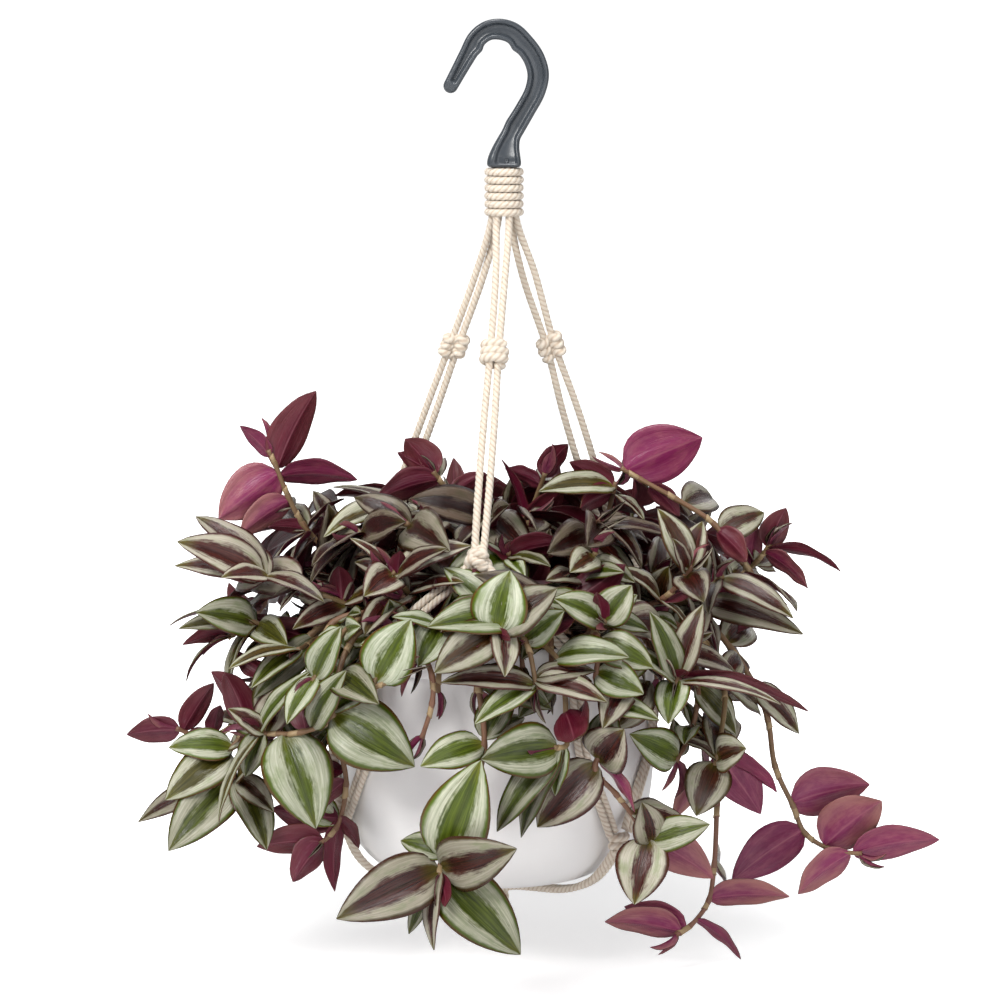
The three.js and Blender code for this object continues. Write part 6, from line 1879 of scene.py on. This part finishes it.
def leaf_samples(leaf, start=0.3):
    samples = []
    for share in np.linspace(start, 1, 6):
        half = leaf.width / 2 * leaf_outline(min(share, 0.98))
        middle = leaf.middle(share)
        for across in (-0.8, 0, 0.8):
            samples.append(middle + leaf.side() * half * across)
    return samples


# How far leaves stay from the pot's side, from its rim, outward and inward, from the rim's top and the
# band's lower edge, and from the soil
SIDE_ROOM = 2
RIM_ROOM_OUT = 2.5
RIM_ROOM_IN = 6
RIM_ROOM_UP = 4
BAND_ROOM_DOWN = 3
SOIL_ROOM = 2


def pot_reach(z):
    """How far out the pot stands at a height, with room for a leaf."""
    if z > POT_RIM_TOP + RIM_ROOM_UP:
        return 0
    if z > POT_BAND_BOTTOM - BAND_ROOM_DOWN:
        return POT_RIM_RADIUS + RIM_ROOM_OUT
    radii, heights = zip(*POT_OUTSIDE)
    return float(np.interp(z, heights, radii)) + SIDE_ROOM


def outside_pot(points):
    for x, y, z in points:
        reach = math.hypot(x - POT_X, y)
        if z < SOIL_TOP + SOIL_ROOM and reach < pot_reach(z):
            return False
        near_rim = POT_RIM_RADIUS - RIM_ROOM_IN < reach < POT_RIM_RADIUS + RIM_ROOM_OUT
        if z < POT_RIM_TOP + RIM_ROOM_UP and near_rim:
            return False
    return True


# Outline of the leafy mass in the front view (x, height), and the places where the pot shows through
MASS_OUTLINE = [
    (-162, -264), (-157, -246), (-120, -239), (-100, -221), (-65, -229), (-50, -206), (-30, -206),
    (-10, -214), (20, -208), (50, -209), (70, -206), (100, -229), (130, -234), (150, -259), (150, -291),
    (135, -304), (122, -329), (120, -349), (115, -379), (100, -394), (80, -366), (70, -349), (50, -339),
    (30, -379), (0, -364), (-30, -356), (-50, -351), (-78, -364), (-80, -399), (-110, -404), (-160, -401),
    (-178, -386), (-158, -361), (-160, -339), (-148, -324), (-155, -299), (-165, -279),
]
# Each as left x, right x, bottom, top. Only leaves nearer than a depth cover them
POT_WINDOWS = [(-58, -15, -351, -304), (22, 45, -314, -298), (30, 74, -420, -364), (-80, -30, -420, -362)]
WINDOW_DEPTH = 30
VIEW_CELL = 3
# A leaf may hide this many points of the listed stems' leaves
MOST_HIDDEN = 1


def in_front_view(point):
    """Where a point is seen from the front (x, height), and how far away it is."""
    tilt = math.radians(VIEW_TILT)
    rise = point[2] - VIEW_CENTRE_Z
    distance = VIEW_DISTANCE + point[1] * math.cos(tilt) - rise * math.sin(tilt)
    size = VIEW_DISTANCE / distance
    height = (rise * math.cos(tilt) + point[1] * math.sin(tilt)) * size + VIEW_CENTRE_Z
    return point[0] * size, height, distance


def view_cell(x, height):
    return int(x // VIEW_CELL), int(height // VIEW_CELL)


def inside_outline(x, height):
    inside = False
    for (ax, az), (bx, bz) in zip(MASS_OUTLINE, MASS_OUTLINE[1:] + MASS_OUTLINE[:1]):
        if (az > height) != (bz > height) and x < ax + (height - az) / (bz - az) * (bx - ax):
            inside = not inside
    return inside


class FrontView:
    """What the leaves of the listed stems cover in the front view, and how near they are."""

    def __init__(self):
        self.nearest = {}

    def cover(self, leaf):
        for share in np.linspace(0.04, 0.98, 16):
            half = leaf.width / 2 * leaf_outline(share)
            for across in np.linspace(-0.95, 0.95, 8):
                x, height, distance = in_front_view(leaf.middle(share) + leaf.side() * half * across)
                cell = view_cell(x, height)
                self.nearest[cell] = min(self.nearest.get(cell, math.inf), distance)

    def leaves_open(self, points):
        """Whether a leaf at these points hides no leaf of the listed stems and stays in the mass's outline.
        """
        hiding = 0
        for point in points:
            x, height, distance = in_front_view(point)
            if point[1] > POT_RIM_RADIUS and abs(x - POT_X) < POT_BODY_RADIUS and height > POT_BOTTOM:
                continue
            if not inside_outline(x, height):
                return False
            if point[1] < WINDOW_DEPTH and any(a < x < b and c < height < d for a, b, c, d in POT_WINDOWS):
                return False
            hiding += distance < self.nearest.get(view_cell(x, height), 0)
        return hiding <= MOST_HIDDEN


BOX_MARGIN = 6


def inside_box(points):
    low = np.array(frame_box[0]) / MM - BOX_MARGIN
    high = np.array(frame_box[1]) / MM + BOX_MARGIN
    points = np.array(points)
    return bool((points > low).all() and (points < high).all())


SPARE_SIZES = (42, 38, 34, 30, 27, 24, 21)
SPARE_TRIES = 3
# The share of them that shows its underside, and how far those are turned over
TURNED_OVER = 0.3
TURNS_OVER = (140, 80)
SPARE_TURN = 300


def spare_leaves(plant, room, view, random):
    """More leaves at a plant's own joints, wherever there is room for them."""
    leaves = []
    for points in plant.stems:
        for joint in range(ROOT_POINTS, len(points)):
            for size in SPARE_SIZES * SPARE_TRIES:
                base = leaf_root(points, joint, int(random() * 4))
                leaf = rule_leaf(base, either_way(random, SPARE_TURN), size, random)
                if random() < TURNED_OVER:
                    leaf = bent_leaf(leaf, (0, 0, drawn(random, TURNS_OVER), 1))
                samples = leaf_samples(leaf)
                if (inside_box(samples) and outside_pot(samples) and view.leaves_open(samples)
                        and room.clear(samples)):
                    room.fill(samples)
                    leaves.append(leaf)
    return leaves


SPRIG_DEPTH = 7
# Each as a least value and how much chance adds. Turns go either way
SPRIG_REACHES = (20, 50)
SPRIG_ELEVATIONS = (50, 35)
SPRIG_JOINTS = (2, 2)
SPRIG_STEPS = (11, 8)
SPRIG_FALLS = (15, 20)
SPRIG_TURN = 80
SPRIG_JOINT_TURN = 40


def sprig_route(azimuth, reach, random):
    """A short sprig inside the mass."""
    foot = polar(azimuth, reach, SOIL_TOP - FOOT_DEPTH)
    points = [foot - (0, 0, SPRIG_DEPTH), foot]
    elevation = drawn(random, SPRIG_ELEVATIONS)
    heading = azimuth + either_way(random, SPRIG_TURN)
    for _ in range(int(drawn(random, SPRIG_JOINTS))):
        points.append(points[-1] + drawn(random, SPRIG_STEPS) * heading_in(heading, elevation))
        elevation -= drawn(random, SPRIG_FALLS)
        heading += either_way(random, SPRIG_JOINT_TURN)
    return points


# Elevations of an outer sprig's joints, from its foot over the rim and down the pot
RIM_SPRIG_SLOPES = [76, 40, -16, -60, -80, -84, -84, -84, -84]
# The fewest joints of a sprig at the front and sides, and at the back, and how much chance adds
FRONT_JOINTS = (4, 2)
BACK_JOINTS = (6, 4)
BACK_AZIMUTHS = (45, 135)
RIM_SPRIG_STEP = 12
RIM_SPRIG_REACH = 66
RIM_SPRIG_TURN = 16
RIM_SPRIG_LIFT = 10
RIM_SPRIG_LOWERED = 0.3


def rim_sprig_route(azimuth, random):
    """A sprig that hangs over the rim, close to the pot."""
    foot = polar(azimuth, RIM_SPRIG_REACH, SOIL_TOP - FOOT_DEPTH)
    points = [foot - (0, 0, SPRIG_DEPTH), foot]
    heading = azimuth
    at_back = BACK_AZIMUTHS[0] < azimuth % 360 < BACK_AZIMUTHS[1]
    joints = int(drawn(random, BACK_JOINTS if at_back else FRONT_JOINTS))
    for elevation in RIM_SPRIG_SLOPES[:joints]:
        lift = (random() - RIM_SPRIG_LOWERED) * RIM_SPRIG_LIFT
        points.append(points[-1] + RIM_SPRIG_STEP * heading_in(heading, elevation + lift))
        heading += either_way(random, RIM_SPRIG_TURN)
    return points


# Thin sprigs that the photograph shows beside the main stems, written as those are, each in a main
# stem's piece
HAND_SPRIGS = [
    ("stem_left_front", (-56, -38),
     [(-68, -285, -48), (-84, -290, -52), (-90, -312, -54), (-82, -345, -52), (-77, -370, -52),
      (-82, -392, -54), (-90, -400, -56)],
     [(6, -122, -401, -62, 16, 155), (6, -104, -419, -62, 17, 150), (5, -83, -424, -58, 11, 140),
      (5, -70, -402, -56, 9, 140), (4, -94, -384, -60, 10, 150)]),
    ("stem_left_middle", (-62, 2),
     [(-78, -288, -4), (-94, -296, -14), (-104, -316, -22), (-108, -336, -26)],
     [(3, -120, -352, -30, 12, 150), (3, -99, -356, -34, 13, 40), (2, -122, -330, -18, 12, 60),
      (1, -118, -306, -18, 13, 40)]),
]


SPRIGS = 80
RIM_SPRIGS = 30
RIM_SPRIG_SHIFT = 0.6
SPRIG_SEED = 7
# Steps between the places that a stem and a leg of the hanger take, and where on a leaf they start
STEM_PLACES = 3
LEG_PLACES = 2
LEAF_PLACES = 0.15


def add_hand_sprigs(plants, room, view):
    for name, root, route, rows in HAND_SPRIGS:
        points = stem_start(root, SPRIG_DEPTH) + [from_front(row) for row in route]
        sprig = Plant(name, [points])
        sprig.leaves = hand_leaves(points, rows)
        next(plant for plant in plants if plant.name == name).sprigs.append(sprig)
        room.fill(smooth_route(points, STEM_PLACES))
        for leaf in sprig.leaves:
            room.fill(leaf_samples(leaf, LEAF_PLACES))
            view.cover(leaf)


def add_sprigs(plants, room):
    """Short sprigs that fill the mass between the larger stems. Each belongs to the nearest clump."""
    random = make_random(SPRIG_SEED)
    clumps = [plant for plant in plants if plant.inner]
    routes = []
    for _ in range(SPRIGS):
        azimuth, reach = random() * 360, SPRIG_REACHES[0] + math.sqrt(random()) * SPRIG_REACHES[1]
        routes.append(sprig_route(azimuth, reach, random))
    for i in range(RIM_SPRIGS):
        routes.append(rim_sprig_route((i + random() * RIM_SPRIG_SHIFT) * 360 / RIM_SPRIGS, random))
    for points in routes:
        nearest = min(clumps, key=lambda plant: np.linalg.norm(plant.stems[0][1] - points[1]))
        nearest.sprigs.append(Plant(nearest.name, [points]))
        room.fill(smooth_route(points[1:], STEM_PLACES))


def own_value(values, leaf):
    return values[min(leaf.number, len(values) - 1)] if isinstance(values, tuple) else values


def leaf_tone(plant, leaf, random):
    """A leaf's kind, lightness and seed. A leaf of the inner mass is darker than one of the outer stems, as
    painted shade.
    """
    usual_kind = UPPER_KIND if leaf.base[2] > UPPER_LEAF_Z else LOWER_KIND
    kind = own_value(LEAF_KINDS.get(plant.name, usual_kind), leaf) + either_way(random, KIND_SPREAD)
    light = drawn(random, INNER_SHADED_LIGHT if plant.inner else OUTER_LIGHT)
    paleness = own_value(PALE_UNDERSIDES.get(plant.name, 0), leaf)
    return min(1, max(0, kind)), light, paleness * SEED_SHARES[0] + random() * SEED_SHARES[1]


STEM_KINDS = (0.3, 0.6)
YOUNG_SEEDS = (0.5, 0.2)


def add_growth(shape, part, plant, grid, random):
    """The stems and leaves of a plant or of one of its sprigs."""
    for points in part.stems:
        add_stem(shape, points, drawn(random, STEM_KINDS), random)
        for _ in range(YOUNG_LEAVES):
            tone = (1, random(), drawn(random, YOUNG_SEEDS))
            add_leaf(shape, young_leaf(points, random), tone, random, YOUNG_LEAF_GRID, YOUNG_FOLD)
    for leaf in part.leaves:
        add_leaf(shape, leaf, leaf_tone(plant, leaf, random), random, grid)


def stand_plants():
    """All plants as the frame has them, with the room and the front view that they take."""
    plants = [hand_plant(number, entry) for number, entry in enumerate(HAND_STEMS)]
    plants += [clump_plant(number, entry) for number, entry in enumerate(CLUMPS)]
    room = Room()
    view = FrontView()
    for name in LEG_AZIMUTHS:
        room.fill(smooth_route(strand_route(name, 0), LEG_PLACES))
    for plant in plants:
        for points in plant.stems:
            room.fill(smooth_route(points, STEM_PLACES))
        for leaf in plant.leaves:
            room.fill(leaf_samples(leaf, LEAF_PLACES))
            if not plant.inner:
                view.cover(leaf)
    return plants, room, view


PLANT_SEED = 500


def make_plants(finishes):
    plants, room, view = stand_plants()
    add_hand_sprigs(plants, room, view)
    add_sprigs(plants, room)
    for number, plant in enumerate(plants):
        random = make_random(PLANT_SEED + number)
        shape = Shape()
        for part in (plant, *plant.sprigs):
            part.leaves += spare_leaves(part, room, view, random)
            add_growth(shape, part, plant, INNER_LEAF_GRID if plant.inner else LEAF_GRID, random)
        name = "leafy_" + plant.name.removeprefix("stem_")
        make_piece(name, shape, finishes, [plant.name])


# The scene

stand_camera()
light_studio()
make_floor()
streaks = lengthwise_streaks()
grain = fine_grain()
cotton = cord_cotton(grain)
make_hook(hook_plastic(grain))
make_wrap(cotton)
for name in LEG_AZIMUTHS:
    make_leg(name, cotton)
make_net_cords(cotton)
make_under_cords(cotton)
make_bottom_knot(cotton)
make_pot(pot_plastic(grain))
make_soil(dark_soil(grain), make_random(SOIL_SEED))
make_plants([leaf_upper(streaks, grain), leaf_under(streaks), stem_skin(streaks)])
